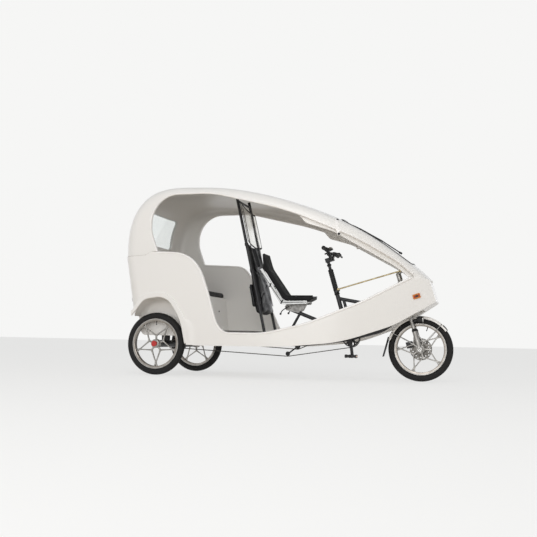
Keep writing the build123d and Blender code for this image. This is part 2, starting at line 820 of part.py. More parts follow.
def bar_point(y):
    """Straight end of the riser bar at y, above and ahead of the stem's clamp."""
    return mast_point(STEM_REACH + BAR_AHEAD, y, STEM_V + BAR_RISE)


def make_handlebar():
    path = [bar_point(-BAR_HALF), bar_point(-BAR_BEND_Y), mast_point(STEM_REACH, -BAR_CLAMP_HALF, STEM_V),
            mast_point(STEM_REACH, BAR_CLAMP_HALF, STEM_V), bar_point(BAR_BEND_Y), bar_point(BAR_HALF)]
    return bent_tube(path, [40, 40, 40, 40], BAR_R)


def make_grips():
    grips = None
    for side in (-1, 1):
        grip = rod(bar_point(side * (BAR_HALF - GRIP_LEN)), bar_point(side * (BAR_HALF + 8)), GRIP_R)
        grips = grip if grips is None else grips + grip
    return grips - make_handlebar()


def make_levers():
    u, v = STEM_REACH + BAR_AHEAD, STEM_V + BAR_RISE
    levers = None
    for side in (-1, 1):
        y = side * (BAR_HALF - GRIP_LEN - 22)
        clamp = rod(mast_point(u, y - 9, v), mast_point(u, y + 9, v), 18)
        clamp += rod(mast_point(u + 16, y, v), mast_point(u + 46, y, v - 8), 8)
        clamp += rod(mast_point(u + 44, y, v - 8), mast_point(u + 30, y + side * 100, v - 22), 5)
        levers = clamp if levers is None else levers + clamp
    return levers - make_handlebar()


def make_sleeve():
    tube = Pos(0, 0, (SLEEVE_LOW + SLEEVE_TOP) / 2) * (
        Cylinder(SLEEVE_R, SLEEVE_TOP - SLEEVE_LOW) - Cylinder(MAST_R, SLEEVE_TOP))
    return on_mast(tube)


def make_link():
    v = FORK_ARM_V + ARM_THICK / 2 + ROD_DROP
    ends = [fork_point(ARM_LEN_U, ARM_LEN_Y, v), fork_point(ARM_LEN_U - axis_gap(), ARM_LEN_Y, v)]
    link = rod(ends[1], ends[0], ROD_R)
    for x, y, z in ends:
        eye = Pos(x, y, z) * Rot(0, -RAKE, 0) * (Cylinder(11, 14))
        link += eye
        post = Pos(x, y, z) * Rot(0, -RAKE, 0) * Pos(0, 0, -ROD_DROP / 2 - 2)
        link += post * Cylinder(5, ROD_DROP - 5)
    return link


# Drive

def make_crankset():
    crank = cross_rod(BB_X, BB_Z, AXLE_R, -CRANK_Y - 6, CRANK_Y + 6)
    for side in (-1, 1):
        y = side * CRANK_Y
        end = (BB_X + CRANK_LEN * cos(crank_angle(side)), y,
               BB_Z + CRANK_LEN * sin(crank_angle(side)))
        start = Vector(BB_X, y, BB_Z)
        crank += flat_bar(start, Vector(*end), 24, 13)
        crank += cross_rod(BB_X, BB_Z, 19, y - 8, y + 8)
        crank += cross_rod(end[0], end[2], 13, y - 7, y + 7)
        tip = y + side * 80
        crank += cross_rod(end[0], end[2], 6, min(y, tip), max(y, tip))
    ring_r = RING_TEETH * CHAIN_PITCH / (2 * pi)
    ring = cross_rod(BB_X, BB_Z, ring_r - 5, CHAIN_Y - 2, CHAIN_Y + 2)
    for k in range(STAR_POINTS):
        turn = 2 * pi * k / STAR_POINTS + crank_angle(-1)
        ring -= cross_rod(BB_X + ring_r * 0.62 * cos(turn), BB_Z + ring_r * 0.62 * sin(turn),
                          ring_r * 0.24, CHAIN_Y - 5, CHAIN_Y + 5)
    crank += ring
    crank += cross_rod(BB_X, BB_Z, 20, -CRANK_Y, CHAIN_Y)
    return crank


def crank_angle(side):
    """Right crank just past its low point, left crank opposite."""
    return radians(-83 if side < 0 else 97)


def make_pedal(side):
    y = side * (CRANK_Y + 12)
    x = BB_X + CRANK_LEN * cos(crank_angle(side))
    z = BB_Z + CRANK_LEN * sin(crank_angle(side))
    low, high = min(y, y + side * PEDAL_W), max(y, y + side * PEDAL_W)
    body = block(x - PEDAL_LEN / 2, x + PEDAL_LEN / 2, low, high, z - PEDAL_T / 2, z + PEDAL_T / 2)
    for dx in (-27, 27):
        body -= block(x + dx - 11, x + dx + 11, low + 14, high - 14, z - 30, z + 30)
    return body - cross_rod(x, z, 6 + RUN_FIT, -400, 400)


def belt(pulleys, y_low, y_high):
    """Closed band round pulleys of (x, z, radius, turn), turn +1 with it inside, -1 outside."""
    count = len(pulleys)
    tangents = []
    for i in range(count):
        x0, z0, r0, t0 = pulleys[i]
        x1, z1, r1, t1 = pulleys[(i + 1) % count]
        gap = hypot(x1 - x0, z1 - z0)
        base = atan2(z1 - z0, x1 - x0)
        tilt = acos((t0 * r0 - t1 * r1) / gap)
        direction = base + tilt
        tangents.append(((x0 + t0 * r0 * cos(direction), z0 + t0 * r0 * sin(direction)),
                         (x1 + t1 * r1 * cos(direction), z1 + t1 * r1 * sin(direction))))
    edges = []
    for i in range(count):
        leave, reach = tangents[i]
        edges.append(Line(spot(leave[0], y_low, leave[1]), spot(reach[0], y_low, reach[1])))
        x, z, r, t = pulleys[(i + 1) % count]
        start, end = reach, tangents[(i + 1) % count][0]
        a0 = atan2(start[1] - z, start[0] - x)
        a1 = atan2(end[1] - z, end[0] - x)
        sweep_angle = (a1 - a0) % (2 * pi) if t < 0 else -((a0 - a1) % (2 * pi))
        mid = a0 + sweep_angle / 2
        middle = spot(x + r * cos(mid), y_low, z + r * sin(mid))
        edges.append(ThreePointArc(spot(start[0], y_low, start[1]), middle, spot(end[0], y_low, end[1])))
    face = Face(Wire([e for curve in edges for e in curve.edges()]))
    return extrude(face, amount=y_high - y_low, dir=(0, 1, 0))


def chain_pulleys(grow):
    ring_r = RING_TEETH * CHAIN_PITCH / (2 * pi)
    cog_r = COG_TEETH * CHAIN_PITCH / (2 * pi)
    return [
        (0, TYRE_R, cog_r + grow, 1),
        (GUIDE_X, GUIDE_Z, IDLER_R - grow, -1),
        (BB_X, BB_Z, ring_r + grow, 1),
        (TENSIONER_X, TENSIONER_Z, IDLER_R - 4 + grow, 1),
    ]


def make_chain():
    low, high = CHAIN_Y - CHAIN_W / 2, CHAIN_Y + CHAIN_W / 2
    outer = belt(chain_pulleys(CHAIN_H / 2), low, high)
    inner = belt(chain_pulleys(-CHAIN_H / 2), low - 1, high + 1)
    return outer - inner


def make_tensioner():
    idlers = cross_rod(TENSIONER_X, TENSIONER_Z, IDLER_R - 4 - CHAIN_H / 2, CHAIN_Y - 4, CHAIN_Y + 4)
    idlers += cross_rod(GUIDE_X, GUIDE_Z, IDLER_R - CHAIN_H / 2, CHAIN_Y - 4, CHAIN_Y + 4)
    arm = rod((TENSIONER_X, CHAIN_Y + 11, TENSIONER_Z), (GUIDE_X, CHAIN_Y + 11, GUIDE_Z), 6)
    idlers += arm
    for x, z in ((TENSIONER_X, TENSIONER_Z), (GUIDE_X, GUIDE_Z)):
        idlers += cross_rod(x, z, 6, CHAIN_Y - 8, CHAIN_Y + 18)
    idlers += rod((GUIDE_X, CHAIN_Y + 10, GUIDE_Z), (GUIDE_X, -8, GUIDE_Z + 14), 7)
    return idlers - make_front_frame()


def make_cog():
    cog_r = COG_TEETH * CHAIN_PITCH / (2 * pi)
    cog = cross_rod(0, TYRE_R, cog_r - CHAIN_H / 2, CHAIN_Y - 3, CHAIN_Y + 3)
    return cog - cross_rod(0, TYRE_R, AXLE_TUBE_R + 0.1, CHAIN_Y - 5, CHAIN_Y + 5)


# Trim

def make_latches(rear, front):
    """Straps over the joint of the canopy, bent round its shoulder, with a knob at each end."""
    band = canopy_layer(-LATCH_T, 4) & (ahead_of_split(-LATCH_W / 2) - ahead_of_split(LATCH_W / 2))
    latch = band & block(1400, 1700, LATCH_TOP_Y, 600, LATCH_LOW_Z, 1400)
    for foot, head in LATCH_KNOBS:
        latch += rod(foot, head, LATCH_KNOB_R)
    return both_sides(latch - rear - front)


def make_wiper(screen):
    arm = rod((1988, 20, 1050), (1838, 0, 1150), 5)
    arm += rod((1838, -6, 1150), (1640, 10, 1265), 6)
    return arm - screen


def make_reflectors(tub):
    reflector = Rot(0, -18, 0) * Box(58, 8, 34)
    placed = None
    for side in (-1, 1):
        one = Pos(2137, side * 238, 677) * Rot(0, 0, side * -24) * reflector
        placed = one if placed is None else placed + one
    return placed - tub


def make_tail_lamps(tub):
    lamps = None
    for side in (-1, 1):
        one = cross_along_x(-244, 36, side * 390, 640, 36)
        lamps = one if lamps is None else lamps + one
    return lamps - tub


def cross_along_x(x, length, y, z, radius):
    return rod((x, y, z), (x + length, y, z), radius)


def make_mudflap(guard):
    flap = [
        (1886, 356, 1),
        (1896, 356, 1),
        (1848, 193, 1),
        (1842, 193, 1),
    ]
    return side_prism(flap, -32, 32) - guard


def build():
    nodes = {}
    nodes["tub"] = make_tub()
    rear, front, screen, window = make_canopy(tub_outer())
    nodes["rear_canopy"] = rear
    nodes["front_arch"] = front
    nodes["windscreen"] = screen
    nodes["rear_window"] = window
    nodes["bench"] = make_bench()
    nodes["bench_cushion"] = make_cushion()
    nodes["bench_backrest"] = make_backrest()
    nodes["floor_mat"] = block(420, 800, -330, 330, FLOOR_Z, FLOOR_Z + MAT_T)
    posts = make_posts(rear)
    nodes["partition_posts"] = posts
    nodes["partition_window"] = between_posts(0.05, 0.33, 3, 0, POST_R - 1) - posts
    nodes["partition_bag"] = between_posts(0.34, 0.84, BAG_T, 0, POST_R - 1) - posts
    nodes["seat_rails"] = make_seat_rails()
    nodes["seat_pad"] = make_seat_pad()
    nodes["seat_slider"] = make_seat_slider()
    nodes["front_frame"] = make_front_frame()
    nodes["rear_axle"] = make_rear_axle()
    nodes["rear_cog"] = make_cog()
    nodes["chain"] = make_chain()
    nodes["chain_tensioner"] = make_tensioner()
    nodes["crankset"] = make_crankset()
    for name, side in (("right", -1), ("left", 1)):
        nodes["pedal_" + name] = make_pedal(side)
        wheel_at = Pos(0, side * TRACK / 2, TYRE_R)
        nodes["rear_tyre_" + name] = wheel_at * tyre()
        nodes["rear_rim_" + name] = wheel_at * rim(REAR_HUB_W, 55 if side < 0 else 20)
        cap = cross_rod(0, 0, CAP_R, 0, CAP_T)
        offset = REAR_HUB_W / 2 if side > 0 else -REAR_HUB_W / 2 - CAP_T
        nodes["hub_cap_" + name] = Pos(0, side * TRACK / 2 + offset, TYRE_R) * cap
    front_at = Pos(WHEELBASE, 0, TYRE_R)
    nodes["front_tyre"] = front_at * tyre()
    nodes["front_rim"] = front_at * rim(HUB_W, 36)
    nodes["front_brake_disc"] = front_at * Pos(0, DISC_Y, 0) * brake_disc()
    nodes["fork"] = make_fork()
    nodes["front_mudguard"] = make_mudguard()
    nodes["headlamp"] = make_headlamp()
    nodes["brake_caliper"] = make_caliper()
    nodes["mast"] = make_mast()
    nodes["mast_sleeve"] = make_sleeve()
    nodes["handlebar"] = make_handlebar()
    nodes["handlebar_grips"] = make_grips()
    nodes["brake_levers"] = make_levers()
    nodes["steering_link"] = make_link()
    nodes["canopy_latches"] = make_latches(rear, front)
    nodes["wiper"] = make_wiper(screen)
    nodes["side_reflectors"] = make_reflectors(nodes["tub"])
    nodes["tail_lamps"] = make_tail_lamps(nodes["tub"])
    nodes["mudflap"] = make_mudflap(nodes["front_mudguard"])
    return nodes


if __name__ == "__main__":
    os.makedirs("parts", exist_ok=True)
    for name, solid in build().items():
        export_step(Pos(-MIDDLE_X, 0, 0) * solid, os.path.join("parts", name + ".step"))
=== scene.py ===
"""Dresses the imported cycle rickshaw: finishes, tyres, cast wheels, upholstery, trim and the stage."""

import math

import bmesh
import bpy
import numpy as np
from bpy.props import FloatProperty, FloatVectorProperty, IntProperty, PointerProperty
from bpy.types import Operator, Panel, PropertyGroup
from mathutils import Matrix, Vector
from mathutils.bvhtree import BVHTree


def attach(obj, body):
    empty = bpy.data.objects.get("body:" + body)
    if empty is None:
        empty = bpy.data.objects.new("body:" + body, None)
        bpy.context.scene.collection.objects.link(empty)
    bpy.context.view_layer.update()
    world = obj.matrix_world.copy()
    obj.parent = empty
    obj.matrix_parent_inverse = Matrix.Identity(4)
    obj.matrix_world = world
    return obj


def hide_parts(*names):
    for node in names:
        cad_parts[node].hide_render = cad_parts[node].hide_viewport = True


bl_info = {
    "name": "Cycle Rickshaw Dressing",
    "version": (1, 0, 0),
    "blender": (4, 5, 0),
    "location": "View3D > Sidebar > Rickshaw",
    "description": "Builds the finishes, wheels, upholstery, trim and stage of a cycle rickshaw",
    "category": "Object",
}

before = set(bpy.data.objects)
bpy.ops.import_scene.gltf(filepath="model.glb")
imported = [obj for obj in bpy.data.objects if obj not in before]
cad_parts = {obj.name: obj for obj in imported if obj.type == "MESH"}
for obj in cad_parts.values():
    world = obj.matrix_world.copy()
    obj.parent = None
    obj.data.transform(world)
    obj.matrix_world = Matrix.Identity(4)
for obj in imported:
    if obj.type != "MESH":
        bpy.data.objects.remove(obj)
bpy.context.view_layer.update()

# Millimetres in the maker's frame: X forward from the rear axle, Y to the left, Z up
MIDDLE_X = 1052.45
WHEELBASE = 2147.0
TRACK = 880.0
TYRE_R = 260.0
TYRE_W = 55.0
RIM_R = 209.0
RAKE = math.radians(16.3)
RAKE_UP = (-math.sin(RAKE), 0, math.cos(RAKE))
RAKE_AHEAD = (math.cos(RAKE), 0, math.sin(RAKE))
MAST_FOOT = (1561.0, 340.0)
BB = (1584.0, 340.0)
CRANK_TURN = math.radians(-83.0)
CRANK_LEN = 150.0
CHAIN_Y = -52.0
PITCH = 12.7
RING_TEETH = 38
COG_TEETH = 18
UPPER_IDLER = (1130.0, 262.0)
LOWER_IDLER = (1044.0, 197.0)
POST_TOP = (588.0, 1556.0)
POST_FOOT = (872.0, 358.0)
POST_Y = 170.0
BAR_U, BAR_V = 46.0, 744.0
BAR_HALF = 290.0
GUARD_R = 262.0
STAY_ANGLES = (50, 150)

# Camera fitted to the photograph: metres in the maker's frame, then yaw, pitch and roll in degrees
CAMERA_AT = (2.672, -5.999, 0.313)
CAMERA_TURN = (-16.981, 5.632, 1.214)
LENS, SENSOR = 48.27, 36.0

# How far skin() looks for a surface, in metres
RAY_REACH = 0.9


def linear(code):
    """An sRGB hex code as linear red, green and blue."""
    part = np.array([int(code[i:i + 2], 16) for i in (1, 3, 5)]) / 255
    low, high = part / 12.92, ((part + 0.055) / 1.055) ** 2.4
    return tuple(float(v) for v in np.where(part <= 0.04045, low, high))


def metres(points):
    """Maker's millimetres to the row frame in metres."""
    return (np.asarray(points, float) - (MIDDLE_X, 0.0, 0.0)) / 1000


def raked(foot, local):
    """Points (ahead, left, along) of a steering axis that leans back by RAKE from its foot."""
    local = np.asarray(local, float)
    u, y, v = local[..., 0], local[..., 1], local[..., 2]
    x = foot[0] + u * math.cos(RAKE) - v * math.sin(RAKE)
    z = foot[1] + u * math.sin(RAKE) + v * math.cos(RAKE)
    return np.stack([x, y, z], -1)


def on_fork(local):
    """Points (ahead, left, along) of the fork's axis, which crosses the front axle."""
    return raked((WHEELBASE, TYRE_R), local)


def on_mast(local):
    """Points (ahead, left, along) of the mast's axis."""
    return raked(MAST_FOOT, local)


def filleted(corners, step=5.0, closed=False):
    """Even points on straight runs joined by arcs. Corners are (a, b, radius): each arc starts and ends
    radius times the tangent of half the turn away from its corner."""
    points = np.asarray(corners, float)[:, :2]
    count, line = len(points), []
    for i, (_, _, radius) in enumerate(corners):
        here = points[i]
        if radius == 0 or (not closed and i in (0, count - 1)):
            line.append(here[None])
            continue
        into = here - points[i - 1]
        away = points[(i + 1) % count] - here
        into, away = into / np.linalg.norm(into), away / np.linalg.norm(away)
        cross = into[0] * away[1] - into[1] * away[0]
        turn = math.atan2(abs(cross), into @ away)
        start = here - into * radius * math.tan(turn / 2)
        spoke = np.array((into[1], -into[0])) * math.copysign(radius, cross)
        swing = np.linspace(0, turn, max(4, int(radius * turn / step)))[:, None]
        swing = swing * math.copysign(1, cross)
        across = np.array((-spoke[1], spoke[0]))
        line.append(start - spoke + spoke * np.cos(swing) + across * np.sin(swing))
    if closed:
        line.append(line[0][:1])
    return evenly(np.concatenate(line), step)


def evenly(line, step):
    """Points a step apart along a polyline of any number of axes."""
    line = np.asarray(line, float)
    run = np.concatenate([[0], np.cumsum(np.linalg.norm(np.diff(line, axis=0), axis=1))])
    at = np.linspace(0, run[-1], max(3, int(run[-1] / step) + 1))
    return np.stack([np.interp(at, run, axis) for axis in line.T], -1)


SKINS = {}


def skin(node, origins, direction):
    """Where rays from the origins first meet a CAD node's surface, all in the maker's millimetres.
    Rows that miss are nan."""
    if node not in SKINS:
        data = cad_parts[node].data
        SKINS[node] = BVHTree.FromPolygons([v.co.copy() for v in data.vertices],
                                           [list(face.vertices) for face in data.polygons])
    heading = Vector(direction).normalized()
    hits = [SKINS[node].ray_cast(Vector(start), heading, RAY_REACH)[0] for start in metres(origins)]
    rows = [(math.nan,) * 3 if hit is None else tuple(hit) for hit in hits]
    return np.asarray(rows) * 1000 + (MIDDLE_X, 0.0, 0.0)


# Surfaces

def quads(rows, cols, wrap_rows=False, wrap_cols=True):
    """Corner numbers of the cells of a grid of rows by cols points."""
    r = np.arange(rows if wrap_rows else rows - 1)[:, None]
    c = np.arange(cols if wrap_cols else cols - 1)[None]
    r1, c1 = (r + 1) % rows, (c + 1) % cols
    cells = [r * cols + c, r * cols + c1, r1 * cols + c1, r1 * cols + c]
    return np.stack(np.broadcast_arrays(*cells), -1).reshape(-1, 4)


def shell(grid, wrap_rows=False, caps=True):
    """Points and faces of a tube of rings: cells between the rings and a flat cap on each end."""
    rows, cols = grid.shape[:2]
    faces = quads(rows, cols, wrap_rows).tolist()
    if caps and not wrap_rows:
        faces += [list(range(cols))[::-1], list(range((rows - 1) * cols, rows * cols))]
    return grid.reshape(-1, 3), faces


def joined(parts):
    """Several (points, faces) parts as one."""
    points, faces, start = [], [], 0
    for part_points, part_faces in parts:
        points.append(part_points)
        faces += [[i + start for i in face] for face in part_faces]
        start += len(part_points)
    return np.concatenate(points), faces


def sections(path, profile, side, scale=None, closed=False):
    """Rings of a profile carried along a path. Its first axis is square to the path and to side,
    its second is square to the path and nearest to side. scale is one size, or two, for each point."""
    path = np.asarray(path, float)
    if closed:
        slope = np.roll(path, -1, 0) - np.roll(path, 1, 0)
    else:
        slope = np.gradient(path, axis=0)
    slope /= np.linalg.norm(slope, axis=1, keepdims=True)
    side = np.broadcast_to(np.asarray(side, float), path.shape)
    first = np.cross(slope, side)
    first /= np.linalg.norm(first, axis=1, keepdims=True)
    second = np.cross(first, slope)
    size = np.ones((len(path), 2)) if scale is None else np.asarray(scale, float).reshape(len(path), -1)
    size = np.broadcast_to(size, (len(path), 2))
    a = profile[None, :, 0, None] * size[:, None, :1] * first[:, None]
    b = profile[None, :, 1, None] * size[:, None, 1:] * second[:, None]
    return path[:, None] + a + b


def oval(width, height, sides=16, power=2.0):
    """Superellipse outline: the sine and cosine raised to 2/power. At 2 it is an ellipse, and above
    that squarer."""
    turn = np.linspace(0, 2 * np.pi, sides, endpoint=False)
    c, s = np.cos(turn), np.sin(turn)
    x = np.sign(c) * np.abs(c) ** (2 / power) * width / 2
    y = np.sign(s) * np.abs(s) ** (2 / power) * height / 2
    return np.stack([x, y], -1)


def upright(line, y):
    """Points of a line in (x, z), placed at y, which is one number or one for each point."""
    return np.stack([line[:, 0], np.broadcast_to(y, len(line)), line[:, 1]], -1)


def renumbered(line, count):
    """A line as count points, each at its share of the way by number."""
    at, own = np.linspace(0, 1, count), np.linspace(0, 1, len(line))
    return np.stack([np.interp(at, own, axis) for axis in line.T], -1)


def smooth_path(points, count):
    """Even points on a Catmull-Rom curve through the given points."""
    p = np.asarray(points, float)
    p = np.concatenate([[2 * p[0] - p[1]], p, [2 * p[-1] - p[-2]]])
    t = np.linspace(0, len(p) - 3 - 1e-9, count)
    i = t.astype(int)
    t = (t - i)[:, None]
    a, b, c, d = p[i], p[i + 1], p[i + 2], p[i + 3]
    return 0.5 * (2 * b + (c - a) * t + (2 * a - 5 * b + 4 * c - d) * t ** 2
                  + (3 * b - a - 3 * c + d) * t ** 3)


def tube(points, radius, count=24, sides=12, side=(0, 1, 0.01), scale=None):
    """Round tube along a smooth curve through the points, with domed ends."""
    path = smooth_path(points, count)
    ends = np.minimum(np.arange(count), np.arange(count)[::-1])
    size = np.sqrt(np.clip(1 - (1 - np.clip((ends + 0.4) / 2, 0, 1)) ** 2, 0.05, 1))
    if scale is not None:
        size = size * np.asarray(scale)
    return shell(sections(path, oval(2 * radius, 2 * radius, sides), side, size))


def turned(profile, centre, axis=(0, 1, 0), sides=48):
    """Ring or knob turned about an axis: profile points are (along the axis, radius)."""
    axis = np.asarray(axis, float) / np.linalg.norm(axis)
    helper = np.array((1.0, 0, 0)) if abs(axis[0]) < 0.8 else np.array((0, 0, 1.0))
    across = np.cross(axis, helper)
    across /= np.linalg.norm(across)
    other = np.cross(axis, across)
    turn = np.linspace(0, 2 * np.pi, sides, endpoint=False)
    spoke = np.cos(turn)[:, None] * across + np.sin(turn)[:, None] * other
    profile = np.asarray(profile, float)
    grid = (np.asarray(centre, float) + profile[None, :, 0, None] * axis
            + profile[None, :, 1, None] * spoke[:, None])
    return grid.reshape(-1, 3), quads(sides, len(profile), True).tolist()


def piece(name, parts, body, finish, sharp=35.0):
    """One mesh object in the row frame from parts in millimetres, riding on a body."""
    points, faces = joined(parts if isinstance(parts, list) else [parts])
    data = bpy.data.meshes.new(name)
    data.from_pydata(metres(points).tolist(), [], faces)
    work = bmesh.new()
    work.from_mesh(data)
    bmesh.ops.remove_doubles(work, verts=work.verts, dist=1e-6)
    bmesh.ops.recalc_face_normals(work, faces=work.faces)
    work.to_mesh(data)
    work.free()
    data.shade_smooth()
    data.set_sharp_from_angle(angle=math.radians(sharp))
    made = bpy.data.objects.new(name, data)
    bpy.context.scene.collection.objects.link(made)
    data.materials.append(FINISHES[finish])
    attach(made, body)
    return made


# Finishes

FINISHES = {}


def add(tree, kind, inputs=None, **settings):
    """Adds one node, sets its properties, and links or fills its inputs."""
    made = tree.nodes.new(kind)
    for key, value in settings.items():
        setattr(made, key, value)
    for key, value in (inputs or {}).items():
        if isinstance(value, bpy.types.NodeSocket):
            tree.links.new(value, made.inputs[key])
        else:
            made.inputs[key].default_value = value
    return made


def finish(name, tones, mottle, rough, relief=(), stretch=(1, 1, 1), **shader):
    """A surface of two tones mixed by noise whose spots are mottle millimetres across, roughness
    between two values by the same noise, and relief given as (pattern, size in mm, depth in mm)."""
    made = bpy.data.materials.new(name)
    made.use_nodes = True
    tree = made.node_tree
    tree.nodes.clear()
    place = add(tree, "ShaderNodeTexCoord").outputs["Object"]
    place = add(tree, "ShaderNodeMapping", {"Vector": place, "Scale": stretch}).outputs[0]
    spots = add(tree, "ShaderNodeTexNoise", {"Vector": place, "Scale": 1000 / mottle,
                                             "Detail": 5.0}).outputs[0]
    share = add(tree, "ShaderNodeMapRange", {"Value": spots, "From Min": 0.35,
                                             "From Max": 0.65}).outputs[0]
    colour = add(tree, "ShaderNodeMix", {0: share, 6: (*linear(tones[0]), 1),
                                         7: (*linear(tones[1]), 1)}, data_type="RGBA").outputs[2]
    gloss = add(tree, "ShaderNodeMapRange", {"Value": share, "To Min": rough[0],
                                             "To Max": rough[1]}).outputs[0]
    inputs = {"Base Color": colour, "Roughness": gloss}
    bump = None
    for pattern, size, depth in relief:
        scale = 1000 / size
        if pattern == "noise":
            height = add(tree, "ShaderNodeTexNoise", {"Vector": place, "Scale": scale,
                                                      "Detail": 3.0}).outputs[0]
        elif pattern == "cells":
            height = add(tree, "ShaderNodeTexVoronoi", {"Vector": place, "Scale": scale},
                         feature="SMOOTH_F1").outputs[0]
        else:
            height = add(tree, "ShaderNodeTexWave", {"Vector": place, "Scale": scale * math.pi / 10},
                         bands_direction=pattern).outputs["Fac"]
        values = {"Height": height, "Distance": depth / 1000, "Strength": 1.0}
        if bump is not None:
            values["Normal"] = bump
        bump = add(tree, "ShaderNodeBump", values).outputs[0]
    if bump is not None:
        inputs["Normal"] = bump
    inputs.update({key.replace("_", " "): value for key, value in shader.items()})
    surface = add(tree, "ShaderNodeBsdfPrincipled", inputs)
    add(tree, "ShaderNodeOutputMaterial", {"Surface": surface.outputs[0]})
    FINISHES[name] = made


def make_finishes():
    """Makes every finish, with its material and how it was made named above it."""
    # Fibreglass gelcoat, sprayed in a mould and polished: off-white, gloss over faint orange peel
    finish("gelcoat", ("#f2f0ec", "#f1efea"), 900, (0.29, 0.33), [("noise", 9, 0.06)],
           Coat_Weight=0.35, Coat_Roughness=0.12, Specular_IOR_Level=0.5)
    # Cast acrylic sheet: clear, hard gloss, the faint green of its edge
    finish("acrylic", ("#f3f6f5", "#eef2f1"), 300, (0.02, 0.05), Transmission_Weight=1.0, IOR=1.49)
    # Pressed vinyl film: clear and soft, so its reflections waver
    finish("clear_vinyl", ("#f4f4f1", "#eceae4"), 160, (0.05, 0.14), [("noise", 90, 0.5)],
           Transmission_Weight=1.0, IOR=1.3)
    # Tyre rubber: carbon black compound, greyed by road dust
    finish("tyre_rubber", ("#151516", "#232221"), 60, (0.66, 0.85), [("noise", 2.5, 0.15)],
           Specular_IOR_Level=0.35)
    # Cast aluminium under silver lacquer: fine metallic flake, satin
    finish("cast_alloy", ("#aeaba6", "#96938e"), 35, (0.3, 0.42), [("noise", 1.6, 0.02)],
           Metallic=0.9, Coat_Weight=0.15, Coat_Roughness=0.2)
    # Extruded aluminium, brushed and clear anodised: long fine lines
    finish("anodised", ("#d2d2d0", "#c3c3c1"), 30, (0.25, 0.36), [("noise", 2.0, 0.02)],
           stretch=(0.2, 3, 0.2), Metallic=1.0)
    # Stainless sheet, ground on both faces
    finish("stainless", ("#c2c1be", "#a9a7a3"), 22, (0.22, 0.34), [("noise", 1.5, 0.02)], Metallic=1.0)
    # Brake disc: hardened steel, ground round and round, heat-tinted grey
    finish("disc_steel", ("#77746f", "#5c5955"), 18, (0.28, 0.42), [("noise", 1.5, 0.02)],
           Metallic=0.95)
    # Machined lip of the wheel: the casting turned bright on the lathe
    finish("turned_alloy", ("#a19a92", "#8d867e"), 60, (0.16, 0.24), [("noise", 1.2, 0.01)],
           Metallic=0.9)
    # Zinc plate with a yellow chromate dip
    finish("yellow_zinc", ("#d0c19a", "#b9a67a"), 26, (0.28, 0.42), [("noise", 1.5, 0.02)],
           Metallic=0.9)
    # Powder-coated steel tube: satin black with a fine pebble from the oven
    finish("black_powder", ("#18181a", "#212123"), 90, (0.38, 0.5), [("noise", 1.8, 0.06)],
           Specular_IOR_Level=0.5)
    # Injection-moulded nylon and ABS: matt spark-eroded grain
    finish("black_plastic", ("#161617", "#1e1e1f"), 45, (0.48, 0.6), [("noise", 1.4, 0.05)])
    # Closed-cell foam grip and rubber flap
    finish("black_rubber", ("#151515", "#1f1f1f"), 30, (0.65, 0.8), [("noise", 2.0, 0.12)])
    # Edge of the rubber mat, scuffed pale by shoes
    finish("grey_rubber", ("#6c6966", "#565350"), 30, (0.6, 0.75), [("noise", 3, 0.15)])
    # Pressed rubber mat: ribs across the floor, 9 mm apart so that they show
    finish("mat_rubber", ("#2b2b2c", "#343331"), 120, (0.6, 0.75), [("X", 9, 0.8), ("noise", 2, 0.1)])
    # Vinyl upholstery: a leather-like cell grain drawn at 3 mm so that it shows
    finish("upholstery_vinyl", ("#0f0f10", "#161617"), 80, (0.48, 0.6), [("cells", 3.0, 0.25)],
           Specular_IOR_Level=0.35)
    # Nylon pack cloth: a plain weave drawn at 2.5 mm so that it shows
    finish("pack_cloth", ("#0b0b0d", "#121215"), 40, (0.3, 0.42), [("Y", 2.5, 0.1), ("Z", 2.5, 0.1)],
           Specular_IOR_Level=0.34)
    # Spacer mesh over foam: an open diamond knit drawn at 4 mm
    finish("spacer_mesh", ("#0f0f11", "#18181a"), 30, (0.7, 0.85), [("cells", 4.0, 0.5)],
           Sheen_Weight=0.08, Sheen_Roughness=0.5, Specular_IOR_Level=0.35)
    # Nickel-plated roller chain and teeth, oiled
    finish("oiled_steel", ("#3b3936", "#5a5752"), 12, (0.3, 0.5), [("noise", 2, 0.05)], Metallic=0.9)
    # Glossy red acrylic cap
    finish("red_acrylic", ("#c3170f", "#b1120c"), 25, (0.12, 0.2), Coat_Weight=0.4)
    # Amber and red prismatic reflector: small corner cubes under a smooth face
    finish("amber_lens", ("#dd8a1c", "#cc7414"), 12, (0.1, 0.18), [("cells", 3.0, 0.6)],
           Coat_Weight=0.3)
    finish("red_lens", ("#b8170f", "#a0110b"), 12, (0.1, 0.18), [("cells", 3.0, 0.6)], Coat_Weight=0.3)
    # Smoked reflector centre and the glass of a small display
    finish("dark_lens", ("#3a1a12", "#4a2418"), 14, (0.12, 0.2), [("cells", 3.0, 0.5)], Coat_Weight=0.3)
    finish("display_glass", ("#1b2226", "#20282c"), 40, (0.05, 0.1), Coat_Weight=0.6,
           Coat_Roughness=0.03)
    # Zinc-plated steel plate, dulled by handling
    finish("worn_steel", ("#9a9895", "#7d7b78"), 24, (0.32, 0.5), [("noise", 2.2, 0.03)], Metallic=0.95)
    # Rolled edge of the moulding: the same gelcoat at high gloss, painted whiter than the panels as a
    # painted highlight along the edges
    finish("gelcoat_painted_highlight", ("#fbf9f6", "#f6f3ef"), 300, (0.14, 0.22), [("noise", 12, 0.05)],
           Coat_Weight=0.5, Coat_Roughness=0.08)
    # Polycarbonate lamp glass
    finish("lamp_lens", ("#eef0ee", "#e6e8e6"), 25, (0.04, 0.1), [("X", 4, 0.3)],
           Transmission_Weight=0.9)
    # Woven polyester strap: ribs across its width, drawn 3 mm apart so that they show
    finish("webbing", ("#1b1b1d", "#27272a"), 20, (0.55, 0.7), [("Z", 3.0, 0.3)], Sheen_Weight=0.3,
           Sheen_Roughness=0.4)
